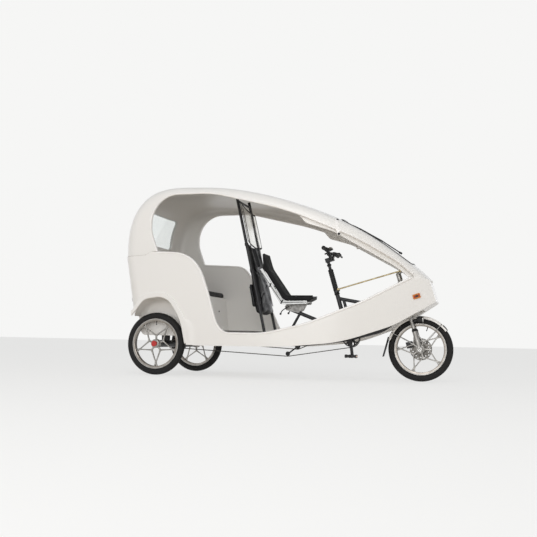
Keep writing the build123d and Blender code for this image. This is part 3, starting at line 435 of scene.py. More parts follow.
    # Sealant cord in the joint of the mouldings: rubber whose grey-brown is painted shade, the shadow
    # along the seam
    finish("seam_painted_shade", ("#8d7a68", "#75675a"), 30, (0.6, 0.75), [("noise", 3, 0.1)])
    # Edge binding tape and gasket cord
    finish("binding", ("#121213", "#1a1a1b"), 20, (0.55, 0.7), [("noise", 1.5, 0.1)])


CAD_FINISH = {
    "tub": "gelcoat", "rear_canopy": "gelcoat", "front_arch": "gelcoat", "bench": "gelcoat",
    "windscreen": "acrylic", "rear_window": "acrylic", "partition_window": "clear_vinyl",
    "bench_cushion": "upholstery_vinyl", "bench_backrest": "upholstery_vinyl",
    "floor_mat": "mat_rubber", "partition_posts": "black_powder", "partition_bag": "pack_cloth",
    "seat_rails": "anodised", "seat_pad": "spacer_mesh", "seat_slider": "worn_steel",
    "front_frame": "black_powder", "rear_axle": "black_powder", "rear_cog": "oiled_steel",
    "chain": "oiled_steel", "chain_tensioner": "black_plastic", "crankset": "black_powder",
    "pedal_right": "black_plastic", "pedal_left": "black_plastic",
    "rear_tyre_right": "tyre_rubber", "rear_tyre_left": "tyre_rubber", "front_tyre": "tyre_rubber",
    "rear_rim_right": "cast_alloy", "rear_rim_left": "cast_alloy", "front_rim": "cast_alloy",
    "hub_cap_right": "red_acrylic", "hub_cap_left": "red_acrylic",
    "front_brake_disc": "disc_steel", "fork": "cast_alloy", "front_mudguard": "gelcoat",
    "headlamp": "black_plastic", "brake_caliper": "black_powder", "mast": "black_powder",
    "mast_sleeve": "black_rubber", "handlebar": "black_powder", "handlebar_grips": "black_rubber",
    # The latches take the rims' whiter gelcoat, a painted highlight on them
    "brake_levers": "black_plastic", "steering_link": "yellow_zinc", "canopy_latches": "gelcoat_painted_highlight",
    "wiper": "black_plastic", "side_reflectors": "amber_lens", "tail_lamps": "red_lens",
    "mudflap": "black_rubber",
}


# Settings

class RickshawSizes(PropertyGroup):
    """Sizes of the tread and the pads"""
    tread_depth: FloatProperty(name="Tread depth", description="Depth of the tyre's grooves",
                               default=0.0018, min=0.0, max=0.005, unit="LENGTH")
    tread_blocks: IntProperty(name="Tread blocks", description="Blocks round each tyre",
                              default=132, min=24, max=240)
    pad_swell: FloatProperty(name="Pad swell",
                             description="Most that a point of a pad may move when it swells",
                             default=0.012, min=0.0, max=0.03, unit="LENGTH")


class RickshawStage(PropertyGroup):
    """Floor and light of the photograph's view"""
    floor_colour: FloatVectorProperty(name="Floor", description="Colour of the floor", subtype="COLOR",
                                      default=linear("#f7f6f3"), min=0.0, max=1.0)
    floor_size: FloatProperty(name="Floor size", description="Width of the floor", default=120.0,
                              min=4.0, unit="LENGTH")
    sky_level: FloatProperty(name="Sky level", description="Strength of the soft light overhead",
                             default=0.42, min=0.0, max=4.0)
    horizon_level: FloatProperty(name="Horizon level",
                                 description="Strength of the soft light all round", default=1.25,
                                 min=0.0, max=4.0)
    key_power: FloatProperty(name="Key power",
                             description="Power of the large lamp high on the camera's side",
                             default=62.0, min=0.0, subtype="POWER")
    side_power: FloatProperty(name="Side power",
                              description="Power of the large soft lamp on the camera's side",
                              default=70.0, min=0.0, subtype="POWER")


class RICKSHAW_OT_stage(Operator):
    """Camera at the photograph's place, pale floor and soft light"""
    bl_idname = "rickshaw.stage"
    bl_label = "Stage"

    def execute(self, context):
        scene, values = context.scene, context.scene.rickshaw_stage
        data = bpy.data.cameras.new("camera")
        data.lens, data.sensor_width = LENS, SENSOR
        data.clip_end = 500.0
        camera = bpy.data.objects.new("camera", data)
        scene.collection.objects.link(camera)
        place = (CAMERA_AT[0] - MIDDLE_X / 1000, *CAMERA_AT[1:])
        camera.matrix_world = camera_place(place, *CAMERA_TURN)
        scene.camera = camera
        half = values.floor_size / 2
        data = bpy.data.meshes.new("floor")
        corners = [(-half, -half, 0), (half, -half, 0), (half, half, 0), (-half, half, 0)]
        data.from_pydata(corners, [], [(0, 1, 2, 3)])
        data.materials.append(floor_finish(values.floor_colour))
        floor = bpy.data.objects.new("floor", data)
        scene.collection.objects.link(floor)
        world = scene.world or bpy.data.worlds.new("world")
        scene.world = world
        world.use_nodes = True
        tree = world.node_tree
        tree.nodes.clear()
        rays = add(tree, "ShaderNodeLightPath").outputs
        seen = add(tree, "ShaderNodeMath", {0: rays["Is Camera Ray"], 1: rays["Is Transmission Ray"]},
                   operation="MAXIMUM").outputs[0]
        heading = add(tree, "ShaderNodeTexCoord").outputs["Generated"]
        height = add(tree, "ShaderNodeSeparateXYZ", {"Vector": heading}).outputs["Z"]
        lit = add(tree, "ShaderNodeMapRange", {"Value": height, "From Min": 0.0, "From Max": 0.8,
                                               "To Min": values.horizon_level,
                                               "To Max": values.sky_level},
                  interpolation_type="SMOOTHSTEP").outputs[0]
        level = add(tree, "ShaderNodeMix", {0: seen, 2: lit, 3: 1.0}, data_type="FLOAT").outputs[0]
        sky = add(tree, "ShaderNodeMix", {0: seen, 6: (*linear("#f4f5f7"), 1),
                                          7: (*linear("#f6f6f5"), 1)}, data_type="RGBA").outputs[2]
        glow = add(tree, "ShaderNodeBackground", {"Color": sky, "Strength": level})
        add(tree, "ShaderNodeOutputWorld", {"Surface": glow.outputs[0]})
        lamp("key", (0.9, -4.4, 4.6), (0.0, 0.0, 0.8), 3.6, values.key_power)
        lamp("side", (0.7, -6.6, 1.7), (-0.2, 0.0, 0.8), 4.0, values.side_power)
        scene.view_settings.view_transform = "Standard"
        return {"FINISHED"}


def camera_place(point, yaw, pitch, roll):
    """Camera matrix from its place in metres and its turns in degrees: yaw from +Y to +X, then up,
    then over."""
    a, e, r = (math.radians(v) for v in (yaw, pitch, roll))
    flat = Vector((math.sin(a), math.cos(a), 0))
    right = Vector((math.cos(a), -math.sin(a), 0))
    up = Vector((0, 0, 1))
    ahead = flat * math.cos(e) + up * math.sin(e)
    over = up * math.cos(e) - flat * math.sin(e)
    x_axis = right * math.cos(r) + over * math.sin(r)
    y_axis = over * math.cos(r) - right * math.sin(r)
    turn = Matrix((x_axis, y_axis, -ahead)).transposed().to_4x4()
    return Matrix.Translation(point) @ turn


def lamp(name, place, target, size, power):
    """Round area lamp at a place, turned towards a target."""
    data = bpy.data.lights.new(name, "AREA")
    data.shape, data.size, data.energy = "DISK", size, power
    made = bpy.data.objects.new(name, data)
    made.location = place
    made.rotation_euler = (Vector(target) - Vector(place)).to_track_quat("-Z", "Y").to_euler()
    bpy.context.scene.collection.objects.link(made)


def floor_finish(colour):
    """Pale matt floor, a little warmer and deeper to the rays that bounce than to the camera."""
    made = bpy.data.materials.new("pale_floor")
    made.use_nodes = True
    tree = made.node_tree
    tree.nodes.clear()
    rays = add(tree, "ShaderNodeLightPath").outputs
    seen = add(tree, "ShaderNodeMath", {0: rays["Is Camera Ray"], 1: rays["Is Transmission Ray"]},
               operation="MAXIMUM").outputs[0]
    seen = add(tree, "ShaderNodeMath", {0: seen, 1: rays["Is Glossy Ray"]},
               operation="MAXIMUM").outputs[0]
    tone = add(tree, "ShaderNodeMix", {0: seen, 6: (*linear("#d0c5b8"), 1), 7: (*colour, 1)},
               data_type="RGBA").outputs[2]
    matt = add(tree, "ShaderNodeBsdfPrincipled", {"Base Color": tone, "Roughness": 0.9})
    pale = add(tree, "ShaderNodeEmission", {"Color": (*linear("#f4f4f3"), 1), "Strength": 1.0})
    share = add(tree, "ShaderNodeMath", {0: seen, 1: 0.68}, operation="MULTIPLY").outputs[0]
    both = add(tree, "ShaderNodeMixShader", {0: share, 1: matt.outputs[0], 2: pale.outputs[0]})
    add(tree, "ShaderNodeOutputMaterial", {"Surface": both.outputs[0]})
    return made


class RICKSHAW_OT_finishes(Operator):
    """Materials, and a finish on every CAD node"""
    bl_idname = "rickshaw.finishes"
    bl_label = "Finishes"

    def execute(self, context):
        make_finishes()
        for name, chosen in CAD_FINISH.items():
            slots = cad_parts[name].material_slots
            for held in slots:
                held.material = FINISHES[chosen]
            if not slots:
                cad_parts[name].data.materials.append(FINISHES[chosen])
        return {"FINISHED"}


# Wheels

WHEELS = {
    "rear_right": ((0.0, -TRACK / 2, TYRE_R), "rear_wheel_right", 64.0, 55.0, -1),
    "rear_left": ((0.0, TRACK / 2, TYRE_R), "rear_wheel_left", 64.0, 20.0, 1),
    "front": ((WHEELBASE, 0.0, TYRE_R), "front_wheel", 84.0, 36.0, -1),
}


def tyre_surface(centre, depth, blocks):
    """Torus of radius 27.5 about 232.5, cut off at the rim. The tread band is pressed in by a groove
    depth where a slanted saw of the turn, and two rings beside the centre rib, leave no block. Two
    finer rings run round each wall."""
    columns, rows = blocks * 6, 44
    minor = TYRE_W / 2
    major = TYRE_R - minor
    reach = math.acos((RIM_R - major) / minor)
    phi = np.linspace(-reach, reach, rows)[None]
    turn = np.linspace(0, 2 * np.pi, columns, endpoint=False)[:, None]
    arc = np.abs(phi) * minor
    phase = (turn * blocks / (2 * np.pi) + arc / 26) % 1.0
    slot = np.clip(1 - np.abs(phase - 0.5) / 0.16, 0, 1)
    band = np.clip((arc - 6.5) / 1.5, 0, 1) * np.clip((29 - arc) / 2.5, 0, 1)
    ring = np.clip(1 - np.abs(arc - 8) / 1.6, 0, 1) + np.clip(1 - np.abs(arc - 18.5) / 1.4, 0, 1) * 0.7
    cut = depth * np.clip(np.maximum(slot * band, ring), 0, 1)
    cut = cut + 0.7 * np.clip(1 - np.abs(arc - 37) / 1.5, 0, 1)
    cut = cut + 0.6 * np.clip(1 - np.abs(arc - 52) / 1.3, 0, 1)
    radius = minor - cut
    away = major + radius * np.cos(phi)
    grid = np.stack([centre[0] + away * np.cos(turn), centre[1] + radius * np.sin(phi) + 0 * turn,
                     centre[2] + away * np.sin(turn)], -1)
    return grid.reshape(-1, 3), quads(columns, rows, True, True).tolist()


class RICKSHAW_OT_tyres(Operator):
    """Three road tyres with cut tread and ribbed walls"""
    bl_idname = "rickshaw.tyres"
    bl_label = "Tyres"

    def execute(self, context):
        sizes = context.scene.rickshaw_sizes
        for name, (centre, body, _, _, _) in WHEELS.items():
            surface = tyre_surface(centre, sizes.tread_depth * 1000, sizes.tread_blocks)
            made = piece("tyre_" + name, surface, body, "tyre_rubber", 40)
            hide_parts(wheel_node(name, "tyre"))
        return {"FINISHED"}


def wheel_node(name, part):
    """CAD node of a wheel's part, as rear_tyre_right or front_tyre."""
    return "front_" + part if name == "front" else name.replace("rear", "rear_" + part)


def star_arm(centre, start, end, width, thick, flare):
    """Cast arm: a squarish oval carried along a straight line in the wheel's plane. Towards both
    ends it swells by the cube of the distance from its middle."""
    share = np.linspace(0, 1, 14)[:, None]
    path = np.asarray(start) * (1 - share) + np.asarray(end) * share
    swell = 1 + flare * (np.abs(2 * share - 1) ** 3)
    rings = sections(np.asarray(centre) + path, oval(width, thick, 16, 3.2), (0, 1, 0),
                     np.concatenate([swell, 1 + 0.25 * (swell - 1)], 1))
    return shell(rings)


def star_wheel(centre, hub_width, turn):
    """Rim hoop, five pairs of crossing arms, a ring of hub spokes and a turned hub."""
    hoop = [(-20, 209), (-20, 190.5), (-18.6, 188.4), (-15, 188), (-12, 190), (-7.5, 193.2), (0, 194),
            (7.5, 193.2), (12, 190), (15, 188), (18.6, 188.4), (20, 190.5), (20, 209), (17.5, 209.8),
            (16.5, 207.5), (12, 201), (0, 199), (-12, 201), (-16.5, 207.5), (-17.5, 209.8)]
    parts = [turned(hoop, centre, sides=144)]
    step = math.radians(36)

    def spoke_point(radius, angle):
        """Point of the wheel's plane, from its centre."""
        return np.array((radius * math.cos(angle), 0.0, radius * math.sin(angle)))

    for k in range(5):
        middle = math.radians(turn + 72 * k)
        for side in (-1, 1):
            start = spoke_point(67.0, middle + side * step)
            cross = spoke_point(160.0, middle)
            end = cross + (cross - start) / np.linalg.norm(cross - start) * 32.0
            parts.append(star_arm(centre, start, end, 9.5, 15.0, 0.7))
        parts.append(star_arm(centre, spoke_point(28.0, middle + step),
                              spoke_point(74.0, middle + step), 15.0, 16.0, 0.35))
        knot = spoke_point(160.0, middle)
        parts.append(turned([(-8, 0.1), (-8, 6), (-6, 8.5), (6, 8.5), (8, 6), (8, 0.1)],
                            np.asarray(centre) + knot, sides=16))
    half = hub_width / 2
    hub = [(-half, 10.6), (-half, 20), (-half + 2, 23), (-half + 5, 24), (-half + 8, 35),
           (-half + 10, 36.5), (-half + 14, 36.5), (-half + 17, 33), (0, 31.5), (half - 17, 33),
           (half - 14, 36.5), (half - 10, 36.5), (half - 8, 35), (half - 5, 24), (half - 2, 23),
           (half, 20), (half, 10.6)]
    parts.append(turned(hub, centre, sides=48))
    return parts


class RICKSHAW_OT_wheels(Operator):
    """Cast five-point star wheels"""
    bl_idname = "rickshaw.wheels"
    bl_label = "Cast wheels"

    def execute(self, context):
        for name, (centre, body, hub_width, turn, _) in WHEELS.items():
            made = piece("star_wheel_" + name, star_wheel(centre, hub_width, turn),
                         body, "cast_alloy", 35)
            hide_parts(wheel_node(name, "rim"))
            lips = [turned([(s * 15.2, 187.4), (s * 18.9, 187.8), (s * 20.3, 190.2), (s * 20.4, 200),
                            (s * 19.2, 200.4), (s * 18.6, 191), (s * 15.4, 189)], centre, sides=144)
                    for s in (-1, 1)]
            piece("wheel_lips_" + name, lips, body, "turned_alloy", 40)
        return {"FINISHED"}


# Shell edges

TUB_PLAN = filleted([(-390, 550, 0), (900, 550, 3000), (1500, 475, 2000), (2000, 300, 2400),
                     (2344, 139, 0)], 8)
TUB_FRONT_EDGE = [(960, 362, 700), (1300, 445, 1200), (1717, 622, 1800), (2090, 828, 0)]
TUB_ENTRY = [(30, 1025), (120, 1022), (222, 1014), (298, 990), (357, 950), (404, 895), (439, 834),
             (469, 757), (496, 682), (524, 592), (550, 509), (566, 462), (588, 420), (620, 385),
             (665, 364), (740, 362), (850, 362)]
WING_INNER = [(222, 985), (256, 976), (290, 925), (318, 868), (520, 408), (560, 350), (640, 335),
              (740, 338)]
TUB_FAR_SIDE = [(30, 1025, 0), (440, 1004, 150), (735, 560, 300), (830, 362, 60)]
CANOPY_OPENING = [(26, 1032, 0), (-38, 1195, 260), (-38, 1508, 236), (500, 1508, 900),
                  (1143, 1352, 2400), (1700, 1118, 1700), (1990, 948, 600), (2105, 850, 0)]
STRIP_EDGE = [(1222, 1330, 0), (1285, 1250, 60), (1500, 1183, 400), (1640, 1103, 600), (1990, 905, 600),
              (2110, 798, 0)]
WINDSCREEN_PLAN = [(1538, -337, 56), (2096, -156, 56), (2096, 156, 56), (1538, 337, 56)]
REAR_WINDOW = [(392, 1148, 50), (341, 1431, 50), (-341, 1431, 50), (-392, 1148, 50)]


def tub_half(x):
    """Half width of the tub at x."""
    return np.interp(x, TUB_PLAN[:, 0], TUB_PLAN[:, 1])


def rolled_edge(line, y, width, height, sink):
    """Rounded rim: an oval carried along an edge of (x, z) points at y, sunk under the edge."""
    path = upright(line, y)
    up = np.cross(np.gradient(path, axis=0), (0, 1, 0))
    up /= np.linalg.norm(up, axis=1, keepdims=True)
    size = np.stack([np.broadcast_to(height, y.shape), np.broadcast_to(width, y.shape)], -1)
    return shell(sections(path - up * sink, oval(1, 1, 16, 2.5), (0, 1, 0), size))


def canopy_wall(line):
    """Middle and thickness of the canopy's right wall at (x, z) points, from rays that meet its two
    faces, evened out over 15 points."""
    count = len(line)
    middle, thick = np.full(count, math.nan), np.full(count, math.nan)
    for node in ("front_arch", "rear_canopy"):
        outer = skin(node, upright(line, -700.0), (0, 1, 0))[:, 1]
        inner = skin(node, upright(line, -200.0), (0, -1, 0))[:, 1]
        good = (outer < -100) & (inner < -100) & (inner - outer > 3)
        middle = np.where(good, (outer + inner) / 2, middle)
        thick = np.where(good, inner - outer, thick)
    known = ~np.isnan(middle)
    at = np.arange(count)
    spread = np.ones(15) / 15
    rows = []
    for values in (middle, thick):
        filled = np.interp(at, at[known], values[known])
        rows.append(np.convolve(np.pad(filled, 7, mode="edge"), spread, mode="valid"))
    return rows


def mirrored(part):
    """A part on the other side of the middle plane."""
    points, faces = part
    return points * (1, -1, 1), faces


def entry_wing():
    """Full sweep of the side panel at the entry: a flush plate ruled between its free edge and a line
    inside the panel, as thick as the wall."""
    outer = renumbered(evenly(smooth_path(TUB_ENTRY[2:-1], 200), 5.0), 110)
    inner = renumbered(evenly(smooth_path(WING_INNER, 200), 5.0), 110)
    ring = [(inner, -550.15), ((inner + outer) / 2, -550.15), (outer, -550.15), (outer, -521.85),
            ((inner + outer) / 2, -521.85), (inner, -521.85)]
    return shell(np.stack([upright(line, y) for line, y in ring], 1))


def arch_fairing():
    """Foot of the wheel arch's bead, faired into the side panel: y falls from the bead's face to the
    panel's along a smooth step whose width grows towards the ground."""
    v = np.linspace(0, 1, 40)
    z = 256 + 206 * v
    knots = [254, 300, 340, 400, 440, 470]
    left = np.interp(z, knots, [322, 320, 310, 298, 282, 270])[:, None]
    bead = np.interp(z, knots, [339, 338, 331, 316, 300, 290])[:, None]
    right = np.interp(z, knots, [412, 410, 406, 396, 372, 330])[:, None]
    u = np.linspace(0, 1, 26)[None]
    x = left + (right - left) * u
    t = np.clip((x - bead) / (right - bead), 0, 1)
    y = -558.9 + 8.75 * t * t * (3 - 2 * t)
    face = np.stack([x, y, np.broadcast_to(z[:, None], x.shape)], -1)
    back = face[:, ::-1] * (1, 0, 1) + (0, -541, 0)
    return shell(np.concatenate([face, back], 1))


def closed_cord(path, radius, side, flat=1.0):
    """Cord round a closed path, along side flat times as thick as across it."""
    return shell(sections(path, oval(2 * radius, 2 * radius * flat, 8), side, closed=True), True)


class RICKSHAW_OT_shell_edges(Operator):
    """Rolled rims of the tub and the canopy, the seam cord between them and the window gaskets"""
    bl_idname = "rickshaw.shell_edges"
    bl_label = "Shell edges"

    def execute(self, context):
        entry = smooth_path(TUB_ENTRY, 160)
        front = filleted([(850, 362, 0)] + TUB_FRONT_EDGE, 9)
        near = evenly(np.concatenate([entry, front[1:]]), 9)
        far = filleted(TUB_FAR_SIDE + TUB_FRONT_EDGE, 9)
        parts = [rolled_edge(near, 13.8 - tub_half(near[:, 0]), 34, 22, 8),
                 rolled_edge(far, tub_half(far[:, 0]) - 13.8, 34, 22, 8)]
        # Tub rims in the whiter gelcoat: a painted highlight along the tub's edges
        piece("tub_rims", parts, "chassis", "gelcoat_painted_highlight", 50)
        fairing = arch_fairing()
        piece("entry_wing", [entry_wing(), fairing, mirrored(fairing)], "chassis", "gelcoat", 40)
        opening = filleted(CANOPY_OPENING, 12)
        middle, thick = canopy_wall(opening + (0, 5))
        roll = rolled_edge(opening, middle, np.clip(thick + 6, 12, 48), 20, -7)
        strip = filleted(STRIP_EDGE, 10)
        middle, thick = canopy_wall(strip + (0, 4))
        lip = rolled_edge(strip, middle, np.clip(thick + 3, 8, 16), 10, -3)
        # Canopy rims in the whiter gelcoat: a painted highlight along the opening's edges
        piece("canopy_rims", [roll, mirrored(roll), lip, mirrored(lip)], "chassis", "gelcoat_painted_highlight", 50)
        turn = np.radians(np.linspace(-90, -180, 16))
        side = np.array([(24, -547.6, 1028), (-25, -547.6, 1028), (-72, -547.6, 998),
                         (-178, -547.6, 991.7)])
        bend = np.stack([-178 + 109.6 * np.cos(turn), -438 + 109.6 * np.sin(turn),
                         np.linspace(991.7, 985, 16)], -1)
        half = np.concatenate([side, bend[1:], [(-289.6, -300, 984.6), (-290.4, 0, 984.6)]])
        line = evenly(np.concatenate([half, half[-2::-1] * (1, -1, 1)]), 14)
        seam = shell(sections(line, oval(4.6, 3.2, 8), (0, 0, 1)))
        # The cord's grey-brown paints the shadow along the seam
        piece("seam_cord", [seam], "chassis", "seam_painted_shade", 60)
        top = skin("front_arch", plan_loop(WINDSCREEN_PLAN, 1700, 14), (0, 0, -1))
        outline = filleted(REAR_WINDOW, 14, True)[:-1]
        back = skin("rear_canopy", np.column_stack([np.full(len(outline), -600.0), outline]), (1, 0, 0))
        back[:, 0] = np.maximum(back[:, 0], np.nanmin(back[:, 0]) + 5.6)
        gaskets = [closed_cord(top[~np.isnan(top[:, 0])], 4.2, (0, 0, 1), 1.3),
                   closed_cord(back[~np.isnan(back[:, 0])], 4.2, (1, 0, 0), 1.3)]
        piece("window_gaskets", gaskets, "chassis", "binding", 60)
        return {"FINISHED"}


# Upholstery

def bolster(profile, half, edge, rows=64, shrink=0.0):
    """Profile of (x, z) points carried across the part. Within an edge's length of each end the outline
    is drawn in along its normals by the rounding of a quarter circle."""
    y = half * np.sin(np.linspace(-math.pi / 2, math.pi / 2, rows))
    late = np.clip((np.abs(y) - (half - edge)) / edge, 0, 1)
    inset = edge * (1 - np.sqrt(np.clip(1 - late ** 2, 0, 1))) + shrink
    slope = np.roll(profile, -1, 0) - np.roll(profile, 1, 0)
    normal = np.stack([slope[:, 1], -slope[:, 0]], -1)
    normal /= np.linalg.norm(normal, axis=1, keepdims=True)
    after = np.roll(profile, -1, 0)
    area = np.sum(profile[:, 0] * after[:, 1] - after[:, 0] * profile[:, 1])
    outline = profile[None] - normal[None] * inset[:, None, None] * math.copysign(1, area)
    across = np.broadcast_to(y[:, None], outline.shape[:2])
    return shell(np.stack([outline[..., 0], across, outline[..., 1]], -1))


def nearest(points, line):
    """Distance from each point to the nearest point of a line of points, worked out in blocks."""
    blocks = np.array_split(points, max(1, len(points) // 4000))
    return np.concatenate([np.sqrt(((b[:, None] - line[None]) ** 2).sum(-1).min(1)) for b in blocks])


def swell(made, cap, seams, voxel, flat=None, groove=4.0):
    """Remeshes a pad evenly and blows it up as cloth with pressure and no gravity. A point moves by
    at most cap, and by less near a seam or the flat rest under z = flat. Seams are then pressed in
    as grooves."""
    scene = bpy.context.scene
    bpy.context.view_layer.objects.active = made
    even = made.modifiers.new("even", "REMESH")
    even.mode, even.voxel_size, even.use_smooth_shade = "VOXEL", voxel, True
    bpy.ops.object.modifier_apply(modifier=even.name)
    data = made.data
    rest = np.empty(len(data.vertices) * 3)
    data.vertices.foreach_get("co", rest)
    rest = rest.reshape(-1, 3)
    seam_gap = nearest(rest, metres(seams))
    free = 1 - np.exp(-(seam_gap / 0.03) ** 2)
    if flat is not None:
        free = free * np.clip((rest[:, 2] - flat / 1000) / 0.012, 0, 1)
    air = made.modifiers.new("air", "CLOTH")
    values = air.settings
    values.use_pressure = True
    values.uniform_pressure_force = 4.0
    values.effector_weights.gravity = 0.0
    values.quality = 4
    for step in range(1, 21):
        scene.frame_set(step)
    blown = made.evaluated_get(bpy.context.evaluated_depsgraph_get())
    moved = np.empty(len(rest) * 3)
    blown.data.vertices.foreach_get("co", moved)
    moved = moved.reshape(-1, 3)
    made.modifiers.remove(air)
    scene.frame_set(1)
    travel = moved - rest
    length = np.linalg.norm(travel, axis=1, keepdims=True)
    travel *= np.minimum(1, cap * free[:, None] / np.maximum(length, 1e-9))
    normals = np.empty(len(rest) * 3)
    data.vertices.foreach_get("normal", normals)
    press = groove / 1000 * np.exp(-(seam_gap / 0.007) ** 2)
    done = rest + travel - normals.reshape(-1, 3) * press[:, None]
    data.vertices.foreach_set("co", done.ravel())
    data.update()
    round_off = made.modifiers.new("round", "SUBSURF")
    round_off.levels = round_off.render_levels = 1


def piping(name, line, radius):
    """Covered cord sewn along a closed edge."""
    piece(name, closed_cord(line, radius, (0.02, 0.01, 1)), "chassis", "binding", 60)


def plan_loop(corners, z, step=12.0):
    """Closed loop of filleted (x, y, radius) corners at one height."""
    flat = filleted(corners, step, True)[:-1]
    return np.column_stack([flat, np.full(len(flat), float(z))])


CUSHION = [(-202, 698, 6), (260, 698, 8), (262, 736, 14), (200, 738, 200), (-202, 738, 12)]
CUSHION_SEAM = [(-196, -468, 24), (254, -468, 40), (254, 468, 40), (-196, 468, 24)]
BACKREST = [(-222, 750, 14), (-148, 750, 18), (-180, 944, 22), (-223, 944, 14), (-256, 900, 50)]
MAT_RIM = [(424, -326, 12), (796, -326, 12), (796, 326, 12), (424, 326, 12)]


class RICKSHAW_OT_bench_seat(Operator):
    """Bench cushion and backrest, swollen, seamed and piped"""
    bl_idname = "rickshaw.bench_seat"
    bl_label = "Bench cushion and backrest"

    def execute(self, context):
        cap = context.scene.rickshaw_sizes.pad_swell
        profile = filleted(CUSHION, 8, True)[:-1]
        made = piece("bench_cushion_pad", bolster(profile, 474, 22), "chassis", "upholstery_vinyl", 60)
        top = plan_loop(CUSHION_SEAM, 735)
        foot = top * (1, 1, 0) + (0, 0, 702)
        middle = evenly([(-190, 0, 739), (250, 0, 739)], 10)
        swell(made, cap * 0.55, np.concatenate([top, middle]), 0.0085, 700, 3.0)
        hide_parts("bench_cushion")
        piping("bench_cushion_piping", top + (0, 0, 1.5), 3.2)
        piping("bench_cushion_foot_piping", foot + (0, 0, 1), 2.6)
        profile = filleted(BACKREST, 8, True)[:-1]
        made = piece("bench_backrest_pad", bolster(profile, 446, 26), "chassis", "upholstery_vinyl",
                     60)
        y_edge = np.concatenate([np.full(12, -428.0), np.linspace(-428, 428, 72), np.full(12, 428.0),
                                 np.linspace(428, -428, 72)])
        share = np.concatenate([np.linspace(0, 1, 12), np.full(72, 1.0), np.linspace(1, 0, 12),
                                np.full(72, 0.0)])
        border = np.stack([-152 - 28 * share, y_edge, 762 + 169 * share], -1)
        split = [evenly([(-152, y, 764), (-180, y, 930)], 8) for y in (-215, 0, 215)]
        swell(made, cap * 0.9, np.concatenate([border] + split), 0.0085, None, 4.0)
        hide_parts("bench_backrest")
        piping("bench_backrest_piping", evenly(border, 10)[:-1] + (1.2, 0, 0.3), 3.0)
        return {"FINISHED"}


SEAT_PAD = [(803, 1056, 8), (830, 1061, 12), (859, 936, 200), (1032, 690, 50), (1259, 690, 14),
            (1273, 667, 10), (1231, 647, 8), (1005, 647, 40), (816, 926, 80)]
SEAT_TOP_LINE = [(822, 1058, 0), (860, 936, 200), (1033, 692, 50), (1262, 692, 0)]
RAIL_TOP = [(797, 919, 0), (1003, 642, 16), (1208, 646, 0)]
RAIL_FOOT = [(788, 905, 0), (988, 618, 30), (1204, 622, 0)]


class RICKSHAW_OT_driver_seat(Operator):
    """Driver's mesh seat pad with its edge bands, rail clamps and levers"""
    bl_idname = "rickshaw.driver_seat"
    bl_label = "Driver's seat"

    def execute(self, context):
        profile = filleted(SEAT_PAD, 6, True)[:-1]
        made = piece("driver_seat_pad", bolster(profile, 82, 12, 36, 2.0), "chassis", "spacer_mesh",
                     60)
        top = filleted(SEAT_TOP_LINE, 6)
        lines = [upright(top, y) for y in (-70.0, -24.0, 24.0, 70.0)]
        cross = [np.stack([np.full(15, x), np.linspace(-70, 70, 15), np.full(15, z)], -1)
                 for x, z in ((872, 900), (960, 770), (1040, 698), (1150, 692))]
        swell(made, context.scene.rickshaw_sizes.pad_swell * 0.6, np.concatenate(lines + cross),
              0.0055, None, 3.5)
        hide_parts("seat_pad")
        parts = []
        for y in (-81.5, 81.5):
            parts.append(shell(sections(upright(top + (-1, -4), y), oval(9, 7, 10, 2.6), (0, 1, 0))))
        piece("seat_pad_binding", parts, "chassis", "binding", 50)
        clamps, silver = [], []
        rail, low = filleted(RAIL_TOP, 8), filleted(RAIL_FOOT, 8)
        for side in (-1, 1):
            for share in (0.3, 0.62):
                k = int(share * (len(rail) - 1))
                a, b = rail[k], low[int(share * (len(low) - 1))]
                middle = (a + b) / 2
                grow = np.stack([middle + (a - b) * t for t in (-0.72, -0.55, 0.55, 0.72)])
                clamps.append(shell(sections(upright(grow, side * 92.0), oval(13, 19, 16, 4), (0, 1, 0),
                                             [(0.8,), (1,), (1,), (0.8,)])))
            # A black strip along the side of each rail: painted shade standing in for the dark of its
            # groove
            groove = upright((rail + renumbered(low, len(rail))) / 2, side * 98.2)
            clamps.append(shell(sections(groove, oval(6.0, 1.8, 8, 3), (0, 1, 0))))
            for x, z in ((812, 888), (948, 715), (1196, 634)):
                silver.append(turned([(-2, 0.1), (-2, 5.5), (2.5, 5.5), (3.5, 3.5), (3.5, 0.1)],
                                     (x, side * 99.5, z), (0, side, 0), 6))
        piece("seat_rail_clamps", clamps, "chassis", "black_plastic", 40)
        piece("seat_rail_bolts", silver, "chassis", "stainless", 30)
        near = [(1040, -34, 600), (1018, -58, 582), (996, -84, 560), (984, -88, 536)]
        far = [(1062, 34, 600), (1040, 58, 584), (1020, 84, 566), (1006, 88, 548)]
        knob = [(-9, 0.1), (-9, 5), (-6, 8), (6, 8), (9, 5), (9, 0.1)]
        levers = [tube(near, 4.2, 20, 10), tube(far, 4.2, 20, 10),
                  turned(knob, (983, -88, 533), (0.3, 0, 1), 20),
                  turned(knob, (1005, 88, 545), (0.3, 0, 1), 20)]
        piece("seat_levers", levers, "chassis", "black_plastic", 40)
        return {"FINISHED"}


# Partition behind the driver

POST_RUN = np.array((POST_FOOT[0] - POST_TOP[0], POST_FOOT[1] - POST_TOP[1]))
POST_LEN = float(np.linalg.norm(POST_RUN))
POST_DOWN = POST_RUN / POST_LEN


def by_posts(share, y, ahead):
    """Point a share of the way down the posts' line, at y, and a distance ahead square to it."""
    share, y, ahead = np.broadcast_arrays(np.asarray(share, float), y, ahead)
    x = POST_TOP[0] + POST_RUN[0] * share - POST_DOWN[1] * ahead
    z = POST_TOP[1] + POST_RUN[1] * share + POST_DOWN[0] * ahead
    return np.stack([x, y, z], -1)


